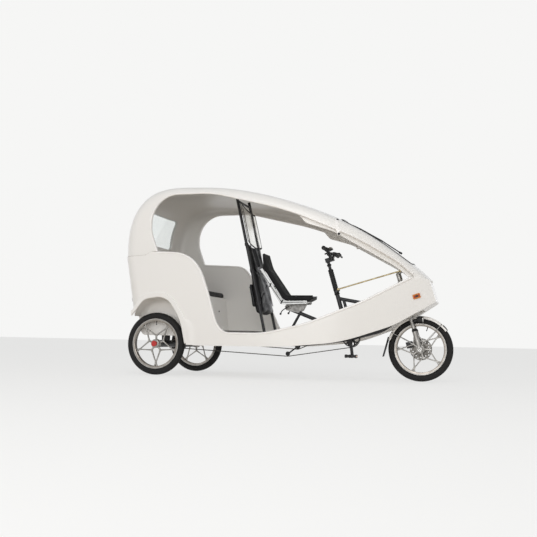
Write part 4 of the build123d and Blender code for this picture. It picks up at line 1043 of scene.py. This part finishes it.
def curtain(top, bottom, left, right, rows, cols):
    """Hung film: a sheet between the posts. Its top edge falls from left to right and sags between
    them, and it waves by a few millimetres in long vertical folds."""
    u = np.linspace(0, 1, cols)[None]
    v = np.linspace(0, 1, rows)[:, None]
    y = left + (right - left) * u + 0 * v
    high = top[0] + (top[1] - top[0]) * u + 0.018 * 4 * u * (1 - u)
    low = bottom[0] + (bottom[1] - bottom[0]) * u + 0.026 * 4 * u * (1 - u)
    share = high + (low - high) * v
    wave = 15 + 2.2 * np.sin(7.3 * u + 1.1) * (0.4 + 0.6 * v) + 1.6 * np.sin(13.1 * u + 2.5 * v)
    return by_posts(share, y, wave)


def bag_shell(rows=120, cols=120):
    """Soft bag hung between the posts: round the section runs an oval of width 1 and depth 1, down the
    length the depth swells towards the bottom, the top edge sags, and folds run down and across it."""
    s = np.linspace(0, 1, rows)[:, None]
    turn = np.linspace(0, 2 * np.pi, cols, endpoint=False)[None]
    c, n = np.cos(turn), np.sin(turn)
    across = np.sign(c) * np.abs(c) ** 0.55
    deep = np.sign(n) * np.abs(n) ** 0.5
    close = np.sqrt(np.clip(1 - np.clip((0.05 - s) / 0.05, 0, 1) ** 2, 0, 1)) * np.sqrt(
        np.clip(1 - np.clip((s - 0.955) / 0.045, 0, 1) ** 2, 0, 1))
    crown = 14 * np.exp(-(s / 0.3) ** 2)
    half_width = 176 - 6 * s - 6 * np.sin(np.pi * s) + 2.5 * np.sin(19 * s + 1) + crown
    depth = (6 + 10 * np.sin(np.pi * np.clip(s * 0.9 + 0.05, 0, 1)) ** 0.7 + 34 * s ** 1.3) * close
    y = half_width * across * (1 - 0.04 * (1 - close)) + 20 * (1 - 0.7 * s) + crown
    droop = 0.034 * (1 - (y / 180) ** 2)
    scallop = 0.014 * s * (1 - (y / 180) ** 2) * np.abs(np.sin(3 * y / 165 + 1))
    share = 0.335 + droop * (1 - s) + s * 0.51 + scallop
    folds = (4.2 * np.sin(y / 21 + 2.2 * np.sin(4 * s)) * np.exp(-((s - 0.14) / 0.18) ** 2)
             + 4.0 * np.sin(y / 34 - 6 * s) * np.clip(1 - np.abs(y) / 170, 0, 1)
             - 4.5 * np.exp(-((s - 0.47 - 0.0006 * y) / 0.02) ** 2)
             - 3.2 * np.exp(-((s - 0.66 + 0.0009 * y) / 0.014) ** 2)
             + 3.4 * np.sin(22 * s + y / 46) * np.exp(-((s - 0.86) / 0.12) ** 2))
    ahead = depth * deep + 1.4 * folds * close + 1.0 - 9 * s
    return shell(by_posts(share, y, ahead))


def webbing(points, width, thick, side, count=30):
    """Flat woven strap along a smooth line, its width across side."""
    return shell(sections(smooth_path(points, count), oval(thick, width, 12, 5), side))


def rear_pocket(rows=44, cols=64):
    """Pocket on the back of the bag: a rounded box whose depth swells down its length."""
    s = np.linspace(0, 1, rows)[:, None]
    turn = np.linspace(0, 2 * np.pi, cols, endpoint=False)[None]
    c, n = np.cos(turn), np.sin(turn)
    close = np.clip(1 - np.abs(2 * s - 1) ** 9, 0, 1) ** 0.5
    y = -62 + 78 * np.sign(c) * np.abs(c) ** 0.4 * (0.94 + 0.06 * close)
    deep = np.sign(n) * np.abs(n) ** 0.6
    share = 0.635 + 0.16 * s
    ahead = -48 - 8 * s + (15 + 4 * s) * deep * close + 1.5 * np.sin(y / 14 + 7 * s) * close
    return shell(by_posts(share, y, ahead))


class RICKSHAW_OT_partition(Operator):
    """Clear curtain, soft bag and webbing between the posts behind the driver"""
    bl_idname = "rickshaw.partition"
    bl_label = "Partition curtain and bag"

    def execute(self, context):
        film = curtain((0.045, 0.1), (0.335, 0.35), -160.0, 222.0, 60, 50)
        made = piece("partition_curtain", (film.reshape(-1, 3), quads(60, 50, False, False).tolist()),
                     "chassis", "clear_vinyl", 60)
        thick = made.modifiers.new("film", "SOLIDIFY")
        thick.thickness, thick.offset = 0.0009, 0.0
        edges = [film[0], film[-1], film[:, 0], film[:, -1]]
        bands = [shell(sections(evenly(edge, 8), oval(3.2, 16, 10, 4),
                                (-POST_DOWN[0], 0.2, -POST_DOWN[1]))) for edge in edges[:2]]
        bands += [shell(sections(evenly(edge, 8), oval(12, 3.2, 10, 4), (1, 0, 0.24)))
                  for edge in edges[2:]]
        hem = piece("partition_curtain_binding", bands, "chassis", "binding", 50)
        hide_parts("partition_window")
        bag = piece("partition_soft_bag", bag_shell(), "chassis", "pack_cloth", 70)
        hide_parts("partition_bag")
        pocket = piece("bag_pocket", rear_pocket(), "chassis", "pack_cloth", 70)
        straps = []
        for y in (-118.0, 118.0):
            straps.append(webbing(by_posts([0.05, 0.2, 0.36, 0.5, 0.66, 0.8], y,
                                           [17, 18, 19, 26, 35, 38]), 20, 2.2, (0, 1, 0)))
        straps.append(webbing(by_posts([0.385, 0.42, 0.5, 0.52, 0.5, 0.42, 0.385],
                                       [-75, -77, -70, -50, -30, -23, -25],
                                       [19, 25, 33, 34, 33, 25, 19]), 16, 2.4, (0.97, 0.02, 0.23), 44))
        for share in (0.36, 0.55, 0.78):
            for side in (-1, 1):
                ring = np.linspace(0, 2 * np.pi, 28, endpoint=False)
                loop = by_posts(share, side * POST_Y + 15.5 * np.cos(ring), 15.5 * np.sin(ring))
                straps.append(shell(sections(loop, oval(2.4, 22, 10, 4),
                                             (POST_DOWN[0], 0, POST_DOWN[1]), closed=True), True))
        piece("partition_straps", straps, "chassis", "webbing", 50)
        zip_line = by_posts(np.full(40, 0.655), np.linspace(-134, 10, 40),
                            -66 - 1.5 * np.sin(np.linspace(0, 3.1, 40)))
        piece("pocket_zip", shell(sections(zip_line, oval(5, 3, 8), (0, 0, 1))), "chassis", "binding",
              50)
        return {"FINISHED"}


# Steering details

def mast_ring(profile, v):
    """Ring turned about the mast at height v."""
    return turned(profile, on_mast((0, 0, v)), RAKE_UP, 32)


def fork_ring(profile, u, y, v, sides=32):
    """Ring turned about a line beside the fork's axis and parallel to it."""
    return turned(profile, on_fork((u, y, v)), RAKE_UP, sides)


def soft_box(size, place, power=4.0, rows=14):
    """Rounded case on the mast: rings of a superellipse whose size follows a superellipse of the
    height."""
    t = np.linspace(-1, 1, rows)
    grow = (1 - np.abs(t * 0.985) ** power) ** (1 / power)
    ring = oval(size[0], size[1], 28, power)
    grid = np.empty((rows, 28, 3))
    grid[..., 0] = place[0] + ring[None, :, 0] * grow[:, None]
    grid[..., 1] = place[1] + ring[None, :, 1] * grow[:, None]
    grid[..., 2] = place[2] + (t * size[2] / 2)[:, None]
    points, faces = shell(grid)
    return on_mast(points), faces


def grip_profile(length, radius):
    """Ribbed grip: eleven rounded ribs between two flanges, as (along, radius)."""
    t = np.linspace(0, 1, 120)
    ribs = 1.1 * np.abs(np.sin(t * math.pi * 11)) ** 0.6
    r = radius - 1.6 + ribs
    r = np.where(t < 0.045, radius + 2.2, r)
    r = np.where(t > 0.965, radius + 0.6, r)
    return [(0.0, 0.1)] + list(zip((t * length).tolist(), r.tolist())) + [(length, 0.1)]


class RICKSHAW_OT_handlebar(Operator):
    """Ribbed grips, levers, shifter, bell and display on the bar, and the collars of the mast"""
    bl_idname = "rickshaw.handlebar"
    bl_label = "Handlebar details"

    def execute(self, context):
        grips, black, silver = [], [], []
        for side in (-1, 1):
            start = on_mast((BAR_U, side * (BAR_HALF - 118), BAR_V))
            grips.append(turned(grip_profile(126, 17.0), start, (0, side, 0), 32))
            black.append(turned([(-13, 0.1), (-13, 17), (-10, 19.5), (8, 19.5), (12, 17), (12, 0.1)],
                                on_mast((BAR_U, side * (BAR_HALF - 133), BAR_V)), (0, side, 0), 28))
            reach = [(BAR_U + 10, side * 150, BAR_V - 2), (BAR_U + 34, side * 152, BAR_V - 8),
                     (BAR_U + 46, side * 166, BAR_V - 12), (BAR_U + 45, side * 196, BAR_V - 17),
                     (BAR_U + 37, side * 232, BAR_V - 22), (BAR_U + 33, side * 262, BAR_V - 24),
                     (BAR_U + 38, side * 272, BAR_V - 25)]
            path = smooth_path(on_mast(reach), 44)
            wide = np.interp(np.linspace(0, 1, 44), [0, 0.15, 0.3, 0.85, 1], [1.5, 1.3, 1.0, 1.15, 1.5])
            black.append(shell(sections(path, oval(7, 11, 14, 3), (0, 0.02, 1), wide)))
            silver.append(turned([(-7, 0.1), (-7, 5), (-5, 6.2), (5, 6.2), (7, 5), (7, 0.1)],
                                 on_mast((BAR_U + 30, side * 152, BAR_V - 7)), RAKE_UP, 20))
            black.append(turned([(-15, 0.1), (-15, 8), (-9, 10), (6, 10), (10, 7), (10, 0.1)],
                                on_mast((BAR_U + 20, side * 131, BAR_V - 4)), (0, side, 0), 20))
            black.append(tube(on_mast([(BAR_U - 6, side * 141, BAR_V - 16),
                                       (BAR_U - 18, side * 150, BAR_V - 26),
                                       (BAR_U - 26, side * 168, BAR_V - 30)]), 4.6, 16, 10,
                              scale=np.linspace(1, 1.5, 16)))
        made = piece("bar_grips", grips, "mast_turn", "black_rubber", 50)
        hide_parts("handlebar_grips")
        black.append(soft_box((50, 74, 20), (BAR_U - 14, 0, BAR_V - 14)))
        black.append(tube(on_mast([(34, 0, 700), (BAR_U - 10, 0, BAR_V - 22)]), 9, 10, 12))
        black.append(soft_box((34, 34, 26), (BAR_U - 2, 96, BAR_V - 2)))
        black.append(soft_box((30, 40, 22), (BAR_U - 4, -98, BAR_V + 2), 3.5))
        piece("bar_controls", black, "mast_turn", "black_plastic", 40)
        dome = [(0, 0.1)] + [(-2 + 17 * math.sin(a), 22 * math.cos(a))
                             for a in np.linspace(0, 1.5, 14)] + [(15, 0.1)]
        silver.append(turned(dome, on_mast((BAR_U + 14, -86, BAR_V + 14)), RAKE_UP, 32))
        for y in (-15, 15):
            for v in (-11, 11):
                silver.append(turned([(-4, 0.1), (-4, 3.6), (3, 3.6), (4, 2.6), (4, 0.1)],
                                     on_mast((53.5, y, 684 + v)), RAKE_AHEAD, 6))
        piece("bar_fittings", silver, "mast_turn", "stainless", 35)
        glass = soft_box((38, 58, 3), (BAR_U - 14, 0, BAR_V - 4.6), 6, 6)
        piece("display_glass", glass, "mast_turn", "display_glass", 40)
        collars = [mast_ring([(-9, 13.2), (-9, 20), (-6, 22.5), (6, 22.5), (9, 20), (9, 13.2)], v)
                   for v in (385, 424)]
        collars += [mast_ring([(-4, 13.2), (-4, 22.2), (4, 22.2), (4, 13.2)], v)
                    for v in np.linspace(446, 590, 9)]
        collars.append(mast_ring([(-7, 13.2), (-7, 17), (-5, 19), (5, 19), (7, 17), (7, 13.2)], 640))
        piece("mast_collars", collars, "mast_turn", "black_rubber", 40)
        return {"FINISHED"}


class RICKSHAW_OT_fork_details(Operator):
    """Fork seals, bolts, axle nuts, head cups, link eye, mudguard stays and lamp glass"""
    bl_idname = "rickshaw.fork_details"
    bl_label = "Fork details"

    def execute(self, context):
        dark, silver = [], []
        for y in (-62, 62):
            dark.append(fork_ring([(0, 14.1), (-2, 20.2), (8, 20.2), (14, 18), (20, 15.4), (20, 14.1)],
                                  0, y, 150))
            dark.append(fork_ring([(-3, 14.1), (-3, 17), (0, 18.4), (4, 17), (4, 14.1)], 0, y, 268))
            silver.append(fork_ring([(0, 0.1), (0, 12), (5, 11), (7, 7), (7, 0.1)], 0, y, 306))
            silver.append(turned([(0, 0.1), (0, 11), (8, 11), (10, 8), (16, 8), (18, 5), (18, 0.1)],
                                 on_fork((0, math.copysign(81, y), 0)), (0, math.copysign(1, y), 0), 6))
            silver.append(turned([(0, 10.2), (0, 17), (3.2, 17), (3.2, 10.2)],
                                 on_fork((0, math.copysign(80.4, y), 0)),
                                 (0, math.copysign(1, y), 0), 28))
            for t in (-13, 13):
                silver.append(turned([(0, 0.1), (0, 4.4), (5, 4.4), (5, 0.1)],
                                     on_fork((23, y * 0.72 + t * 0.6, 289)), RAKE_AHEAD, 6))
        piece("fork_seals", dark, "fork_turn", "black_rubber", 40)
        piece("fork_bolts", silver, "fork_turn", "stainless", 35)
        cups = [fork_ring([(-12, 21.2), (-12, 24), (-9, 26), (0, 26), (3, 23), (3, 21.2)], 0, 0, v)
                for v in (324, 577)]
        piece("head_cups", cups, "chassis", "cast_alloy", 40)
        stays = []
        for y in (-1, 1):
            foot = on_fork((4, y * 84, 10))
            for angle in STAY_ANGLES:
                a = math.radians(angle)
                rim_point = (WHEELBASE + GUARD_R * math.cos(a), y * 38.5,
                             TYRE_R + GUARD_R * math.sin(a))
                middle = (np.array(foot) + rim_point) / 2 + (0, y * 3, 0)
                stays.append(tube([foot, middle, rim_point], 2.6, 22, 8, (0.02, 1, 0.01)))
        piece("mudguard_stays", stays, "fork_turn", "stainless", 40)
        bolts = []
        for y in (-1, 1):
            for angle in STAY_ANGLES:
                a = math.radians(angle)
                bolts.append(turned([(-1, 0.1), (-1, 5), (2.5, 5), (3.5, 3.5), (3.5, 0.1)],
                                    (WHEELBASE + GUARD_R * math.cos(a), y * 39,
                                     TYRE_R + GUARD_R * math.sin(a)), (0, y, 0), 12))
        a = np.radians(np.linspace(36, 47, 9))
        tip = np.stack([WHEELBASE + 264.5 * np.cos(a), 0 * a, TYRE_R + 264.5 * np.sin(a)], -1)
        bolts.append(shell(sections(tip, oval(12, 74, 20, 5), (0, 1, 0), np.linspace(0.9, 1.0, 9))))
        piece("mudguard_fittings", bolts, "fork_turn", "black_plastic", 40)
        base = on_fork((78, -70, 230))
        face = [(16.6, 0.1), (16.6, 20), (17.6, 21.4), (20, 21.4), (21.5, 19), (22.6, 12), (23, 0.1)]
        piece("headlamp_glass", turned(face, base, (1, 0, 0), 36), "fork_turn", "lamp_lens", 35)
        rim = turned([(12, 23.6), (12, 25.4), (17, 25.8), (20.5, 24.6), (20.5, 22), (16, 21.8)], base,
                     (1, 0, 0), 40)
        piece("headlamp_rim", rim, "fork_turn", "stainless", 40)
        eye = [(-10, 0.1), (-10, 8), (-8, 9.5), (-4, 9.5), (-3, 12.4), (3, 12.4), (4, 9), (9, 8),
               (9, 0.1)]
        piece("link_eye_front", fork_ring(eye, 30.0, -65.0, 656, 24), "link", "yellow_zinc", 35)
        brake = []
        for u, v in ((-96, 78), (-60, 78), (-96, 38), (-60, 38)):
            brake.append(turned([(0, 0.1), (0, 5), (5, 5), (6, 3.6), (6, 0.1)], on_fork((u, 55.5, v)),
                                (0, 1, 0), 6))
        brake.append(turned([(0, 0.1), (0, 15), (3, 15), (6, 12), (6, 0.1)], on_fork((-78, 55.5, 58)),
                            (0, 1, 0), 28))
        piece("brake_bolts", brake, "fork_turn", "stainless", 35)
        return {"FINISHED"}


# Drive

PULLEYS = ((0.0, TYRE_R, COG_TEETH * PITCH / (2 * math.pi), 1), (*UPPER_IDLER, 26.0, -1),
           (*BB, RING_TEETH * PITCH / (2 * math.pi), 1), (*LOWER_IDLER, 22.0, 1))


def chain_line():
    """Chain's middle line in (x, z): straight tangents between the pulleys and arcs round them.
    A pulley turned +1 has the chain outside its right hand, -1 the other."""
    count, line, ends = len(PULLEYS), [], []
    for i in range(count):
        x0, z0, r0, t0 = PULLEYS[i]
        x1, z1, r1, t1 = PULLEYS[(i + 1) % count]
        gap = math.hypot(x1 - x0, z1 - z0)
        heading = math.atan2(z1 - z0, x1 - x0) + math.acos((t0 * r0 - t1 * r1) / gap)
        c, s = math.cos(heading), math.sin(heading)
        ends.append(((x0 + t0 * r0 * c, z0 + t0 * r0 * s), (x1 + t1 * r1 * c, z1 + t1 * r1 * s)))
    for i in range(count):
        leave, reach = ends[i]
        line.append(np.array([leave, reach]))
        x, z, r, t = PULLEYS[(i + 1) % count]
        begin = math.atan2(reach[1] - z, reach[0] - x)
        away = ends[(i + 1) % count][0]
        stop = math.atan2(away[1] - z, away[0] - x)
        sweep = (stop - begin) % (2 * math.pi) if t < 0 else -((begin - stop) % (2 * math.pi))
        turn = begin + np.linspace(0, sweep, 40)[1:-1]
        line.append(np.stack([x + r * np.cos(turn), z + r * np.sin(turn)], -1))
    line.append(line[0][:1])
    return np.concatenate(line)


def link_part(inner):
    """One link about its middle as (along, up, across): two waisted plates and a six-sided roller."""
    half = PITCH / 2
    outline = np.array([(-half - 3.8, 0), (-half - 2.2, 3.4), (-half + 1.6, 3.9), (0, 2.7),
                        (half - 1.6, 3.9), (half + 2.2, 3.4), (half + 3.8, 0), (half + 2.2, -3.4),
                        (half - 1.6, -3.9), (0, -2.7), (-half + 1.6, -3.9), (-half - 2.2, -3.4)])
    parts = []
    gap, thick = 1.7 if inner else 2.7, 0.8
    for side in (-1, 1):
        low, high = side * gap, side * (gap + thick)
        grid = np.stack([np.column_stack([outline, np.full(12, low)]),
                         np.column_stack([outline, np.full(12, high)])])
        parts.append(shell(grid))
    if inner:
        turn = np.linspace(0, 2 * np.pi, 6, endpoint=False)
        for at in (-half, half):
            ring = np.stack([at + 3.2 * np.cos(turn), 3.2 * np.sin(turn)], -1)
            grid = np.stack([np.column_stack([ring, np.full(6, -1.7)]),
                             np.column_stack([ring, np.full(6, 1.7)])])
            parts.append(shell(grid, caps=False))
    return joined(parts)


def roller_chain():
    """Links set along the chain's line, inner and outer by turns, each turned to its run."""
    line = chain_line()
    run = np.concatenate([[0], np.cumsum(np.linalg.norm(np.diff(line, axis=0), axis=1))])
    count = int(run[-1] / PITCH / 2) * 2
    joints = np.linspace(0, run[-1], count, endpoint=False)
    place = np.stack([np.interp(joints, run, line[:, 0]), np.interp(joints, run, line[:, 1])], -1)
    after = np.roll(place, -1, 0)
    middle, along = (place + after) / 2, after - place
    along /= np.linalg.norm(along, axis=1, keepdims=True)
    parts = []
    for kind in (0, 1):
        points, faces = link_part(kind == 0)
        centre, way = middle[kind::2], along[kind::2]
        way_x, way_z = way[:, None, 0], way[:, None, 1]
        x = centre[:, None, 0] + points[None, :, 0] * way_x - points[None, :, 1] * way_z
        z = centre[:, None, 1] + points[None, :, 0] * way_z + points[None, :, 1] * way_x
        y = np.broadcast_to(CHAIN_Y + points[None, :, 2], x.shape)
        grid = np.stack([x, y, z], -1).reshape(-1, 3)
        offset = np.arange(len(centre)) * len(points)
        all_faces = [[i + o for i in face] for o in offset.tolist() for face in faces]
        parts.append((grid, all_faces))
    return parts


def toothed_ring(centre, teeth, radius, depth, thick, inner):
    """Flat ring whose outer edge is a raised cosine of the turn for each tooth."""
    turn = np.linspace(0, 2 * np.pi, teeth * 10, endpoint=False)
    wave = radius - depth * (0.5 + 0.5 * np.cos(turn * teeth)) ** 0.7
    rings = [(wave - 1.2, thick / 2), (wave, thick * 0.22), (wave, -thick * 0.22),
             (wave - 1.2, -thick / 2), (0 * wave + inner, -thick / 2), (0 * wave + inner, thick / 2)]
    grid = np.stack([np.stack([centre[0] + r * np.cos(turn), centre[1] + y + 0 * turn,
                               centre[2] + r * np.sin(turn)], -1) for r, y in rings])
    return grid.reshape(-1, 3), quads(6, len(turn), True, True).tolist()


class RICKSHAW_OT_drive(Operator):
    """Roller chain, toothed rings, crank bolts and pedal treads"""
    bl_idname = "rickshaw.drive"
    bl_label = "Drive"

    def execute(self, context):
        made = piece("roller_chain", roller_chain(), "chassis", "oiled_steel", 30)
        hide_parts("chain")
        piece("chainring_teeth", toothed_ring((BB[0], CHAIN_Y, BB[1]), RING_TEETH, 75.4, 4.4, 2.4, 66),
              "crank", "oiled_steel", 30)
        piece("cog_teeth", toothed_ring((0, CHAIN_Y, TYRE_R), COG_TEETH, 34.8, 3.6, 2.4, 30),
              "chassis", "oiled_steel", 30)
        silver = []
        for side in (-1, 1):
            silver.append(turned([(0, 0.1), (0, 9), (2, 9.6), (4, 8), (4, 5), (1.5, 4.6), (1.5, 0.1)],
                                 (BB[0], side * 86, BB[1]), (0, side, 0), 24))
        for k in range(5):
            a = CRANK_TURN + 2 * math.pi * (k + 0.5) / 5
            silver.append(turned([(0, 0.1), (0, 5), (2, 5), (3, 3.6), (3, 0.1)],
                                 (BB[0] + 60 * math.cos(a), CHAIN_Y - 2.2, BB[1] + 60 * math.sin(a)),
                                 (0, -1, 0), 12))
        piece("crank_bolts", silver, "crank", "stainless", 35)
        for side, name, body in ((-1, "right", "pedal_right_turn"), (1, "left", "pedal_left_turn")):
            turn = CRANK_TURN + (0 if side < 0 else math.pi)
            x, z = BB[0] + CRANK_LEN * math.cos(turn), BB[1] + CRANK_LEN * math.sin(turn)
            rows = []
            for dx in (-42, -9, 9, 42):
                for face in (-1, 1):
                    y = side * (90 + np.linspace(7, 81, 60))
                    bump = z + face * (10.4 + 1.9 * np.abs(np.sin(np.linspace(0, 8 * math.pi, 60))))
                    path = np.stack([np.full(60, x + dx), y, bump], -1)
                    rows.append(shell(sections(path, oval(3.4, 6, 8, 3), (0.99, 0.02, 0.02))))
            piece("pedal_tread_" + name, rows, body, "black_rubber", 50)
            lights, pad = [], oval(58, 12, 20, 6)
            for face in (-1, 1):
                grid = np.stack([np.column_stack([np.full(20, x + face * (45.6 + t)),
                                                  side * 134 + pad[:, 0] * s, z + pad[:, 1] * s])
                                 for t, s in ((0, 1), (1.6, 1), (2.2, 0.93))])
                lights.append(shell(grid))
            piece("pedal_reflectors_" + name, lights, body, "amber_lens", 40)
        idlers = []
        for (x, z), r in ((LOWER_IDLER, 17.5), (UPPER_IDLER, 21.5)):
            idlers.append(turned([(-6.4, 0.1), (-6.4, r - 5), (-5.2, r + 1), (-4.2, r + 1),
                                  (-4.0, r - 0.6), (4.0, r - 0.6), (4.2, r + 1), (5.2, r + 1),
                                  (6.4, r - 5), (6.4, 0.1)], (x, CHAIN_Y, z), (0, 1, 0), 36))
        piece("idler_flanges", idlers, "chassis", "black_plastic", 35)
        return {"FINISHED"}


# Trim

def ring_bolt(place, axis, radius, height, sides=16):
    """Bolt head or plug whose outer part tapers."""
    return turned([(-1, 0.1), (-1, radius), (height * 0.6, radius), (height, radius * 0.7),
                   (height, 0.1)], place, axis, sides)


def raised(outline, side, steps, x=0):
    """Rings of a flat pad: its outline in (x, z) at each step's height and share of the size."""
    return [upright(outline * size + (x, 0), side * height) for height, size in steps]


class RICKSHAW_OT_trim(Operator):
    """Hub cap and lamp rims, valves, reflectors, latch knobs, wiper, solid black vent plugs that paint
    the shade of the vent holes, mat rim and bolts
    """
    bl_idname = "rickshaw.trim"
    bl_label = "Trim"

    def execute(self, context):
        for name, (centre, body, hub_width, turn, side) in WHEELS.items():
            a = math.radians(turn + 36)
            inward = np.array((-math.cos(a), 0, -math.sin(a)))
            foot = np.array(centre) - inward * 189
            girth = [1.3] * 5 + [1.0] * 5 + [1.35] * 4
            valve = tube([foot, foot + inward * 16, foot + inward * 34], 3.0, 14, 10, scale=girth)
            piece("valve_" + name, valve, body, "black_rubber", 50)
            if name == "front":
                continue
            at = (0, side * (TRACK / 2 + hub_width / 2 + 2), TYRE_R)
            piece("cap_rim_" + name, turned([(0, 20.5), (-2, 24), (6, 24), (8.5, 22.5), (8.5, 20.5)],
                                            at, (0, side, 0), 40), body, "amber_lens", 40)
        rims, lenses = [], []
        for y in (-390, 390):
            rims.append(turned([(-2, 33), (-2, 38), (4, 39), (12, 38), (12, 35.8)], (-246, y, 640),
                               (1, 0, 0), 44))
            lenses.append(turned([(0.5, 0.1), (-2.5, 9), (-2.8, 12), (-1.6, 12.6), (-3.2, 20),
                                  (-2.4, 20.6), (-3.0, 27), (-1.4, 32.5), (1, 33.2), (1, 0.1)],
                                 (-244, y, 640), (1, 0, 0), 44))
        piece("tail_lamp_rims", rims, "chassis", "stainless", 40)
        piece("tail_lamp_rings", lenses, "chassis", "red_lens", 35)
        frames, ends, darks = [], [], []
        for side in (-1, 1):
            yaw = Matrix.Rotation(math.radians(side * -24), 3, "Z")
            spin = np.array(yaw @ Matrix.Rotation(math.radians(-18), 3, "Y"))

            def set_in(local):
                """Points of the reflector in its recess on the nose."""
                return np.asarray(local, float) @ spin.T + (2137, side * 238, 677)

            ring = oval(59, 35, 48, 8)
            path = set_in(upright(ring, side * 3.4))
            frames.append(closed_cord(path, 2.1, spin @ (0, side, 0)))
            for x in (-18.5, 18.5):
                ends.append(shell(set_in(raised(oval(9, 20, 20, 7), side,
                                                ((3, 1), (4.9, 1), (5.5, 0.9)), x))))
            darks.append(shell(set_in(raised(oval(24, 18, 24, 7), side,
                                             ((3, 1), (4.6, 1), (5.1, 0.92))))))
        piece("reflector_frames", frames, "chassis", "amber_lens", 50)
        piece("reflector_ends", ends, "chassis", "red_lens", 40)
        piece("reflector_centres", darks, "chassis", "dark_lens", 40)
        knobs = []
        for side in (-1, 1):
            for foot, head in (((1524, 399, 1261), (1533, 411, 1280)),
                               ((1552, 418, 1157), (1552, 449, 1157))):
                foot, head = np.array(foot, float) * (1, side, 1), np.array(head, float) * (1, side, 1)
                way = (head - foot) / np.linalg.norm(head - foot)
                knobs.append(turned([(-9, 0.1), (-9, 8.6), (-4, 10.2), (-1, 10.2), (1.5, 7.5),
                                     (2, 0.1)], head, way, 24))
        piece("latch_knobs", knobs, "chassis", "black_plastic", 40)
        x = np.linspace(1585, 1800, 26)
        y = np.interp(x, [1585, 1800], [14, 2])
        glass = skin("windscreen", np.stack([x, y, np.full(26, 1700.0)], -1), (0, 0, -1))
        good = ~np.isnan(glass[:, 0])
        path = glass[good] + (0, 0, 5.0)
        blade = [shell(sections(path, oval(9, 3.2, 10, 3), (0, 1, 0))),
                 shell(sections(path + (0, 0, 5.5), oval(3.4, 8, 10, 3), (0, 1, 0)))]
        blade.append(turned([(-7, 0.1), (-7, 15), (5, 15), (9, 11), (9, 0.1)], (1982, 19, 1053),
                            (0.45, 0, 0.9), 28))
        piece("wiper_blade", blade, "chassis", "black_rubber", 40)
        # Solid black rubber plugs on the bench's front: painted shade standing in for the dark inside
        # the vent holes
        vent_shade_plugs = [ring_bolt((276, y, 564), (1, 0, 0), 8, 3) for y in (300, -300)]
        piece("bench_vent_shade_plugs", vent_shade_plugs, "chassis", "black_rubber", 50)
        rim = sections(plan_loop(MAT_RIM, 368, 10), oval(9, 26, 12, 4), (0, 0, 1), closed=True)
        piece("mat_edge", shell(rim, True), "chassis", "grey_rubber", 50)
        bolts = [ring_bolt((x, y, 346), (0, 0, -1), 7, 4, 6) for x in (430, 880)
                 for y in (-420, -140, 140, 420)]
        bolts += [ring_bolt((x, side * 20.5, z), (0, side, 0), 5, 3.5, 6) for side in (-1, 1)
                  for x, z in ((1020, 583), (1140, 560))]
        piece("frame_bolts", bolts, "chassis", "stainless", 35)
        return {"FINISHED"}


OPERATORS = [
    RICKSHAW_OT_stage, RICKSHAW_OT_finishes, RICKSHAW_OT_tyres, RICKSHAW_OT_wheels,
    RICKSHAW_OT_shell_edges, RICKSHAW_OT_bench_seat, RICKSHAW_OT_driver_seat,
    RICKSHAW_OT_partition, RICKSHAW_OT_handlebar, RICKSHAW_OT_fork_details, RICKSHAW_OT_drive,
    RICKSHAW_OT_trim,
]


class RICKSHAW_PT_panel(Panel):
    """Settings of the two groups and a button for each operator"""
    bl_label = "Cycle Rickshaw"
    bl_idname = "RICKSHAW_PT_panel"
    bl_space_type = "VIEW_3D"
    bl_region_type = "UI"
    bl_category = "Rickshaw"

    def draw(self, context):
        for group in (context.scene.rickshaw_sizes, context.scene.rickshaw_stage):
            for key in group.__annotations__:
                self.layout.prop(group, key)
        for each in OPERATORS:
            self.layout.operator(each.bl_idname)


CLASSES = [RickshawSizes, RickshawStage, RICKSHAW_PT_panel] + OPERATORS


def register():
    for each in CLASSES:
        bpy.utils.register_class(each)
    bpy.types.Scene.rickshaw_sizes = PointerProperty(type=RickshawSizes)
    bpy.types.Scene.rickshaw_stage = PointerProperty(type=RickshawStage)


def unregister():
    del bpy.types.Scene.rickshaw_stage
    del bpy.types.Scene.rickshaw_sizes
    for each in reversed(CLASSES):
        bpy.utils.unregister_class(each)


def main():
    register()
    for each in OPERATORS:
        group, name = each.bl_idname.split(".")
        getattr(getattr(bpy.ops, group), name)()


if __name__ == "__main__":
    main()
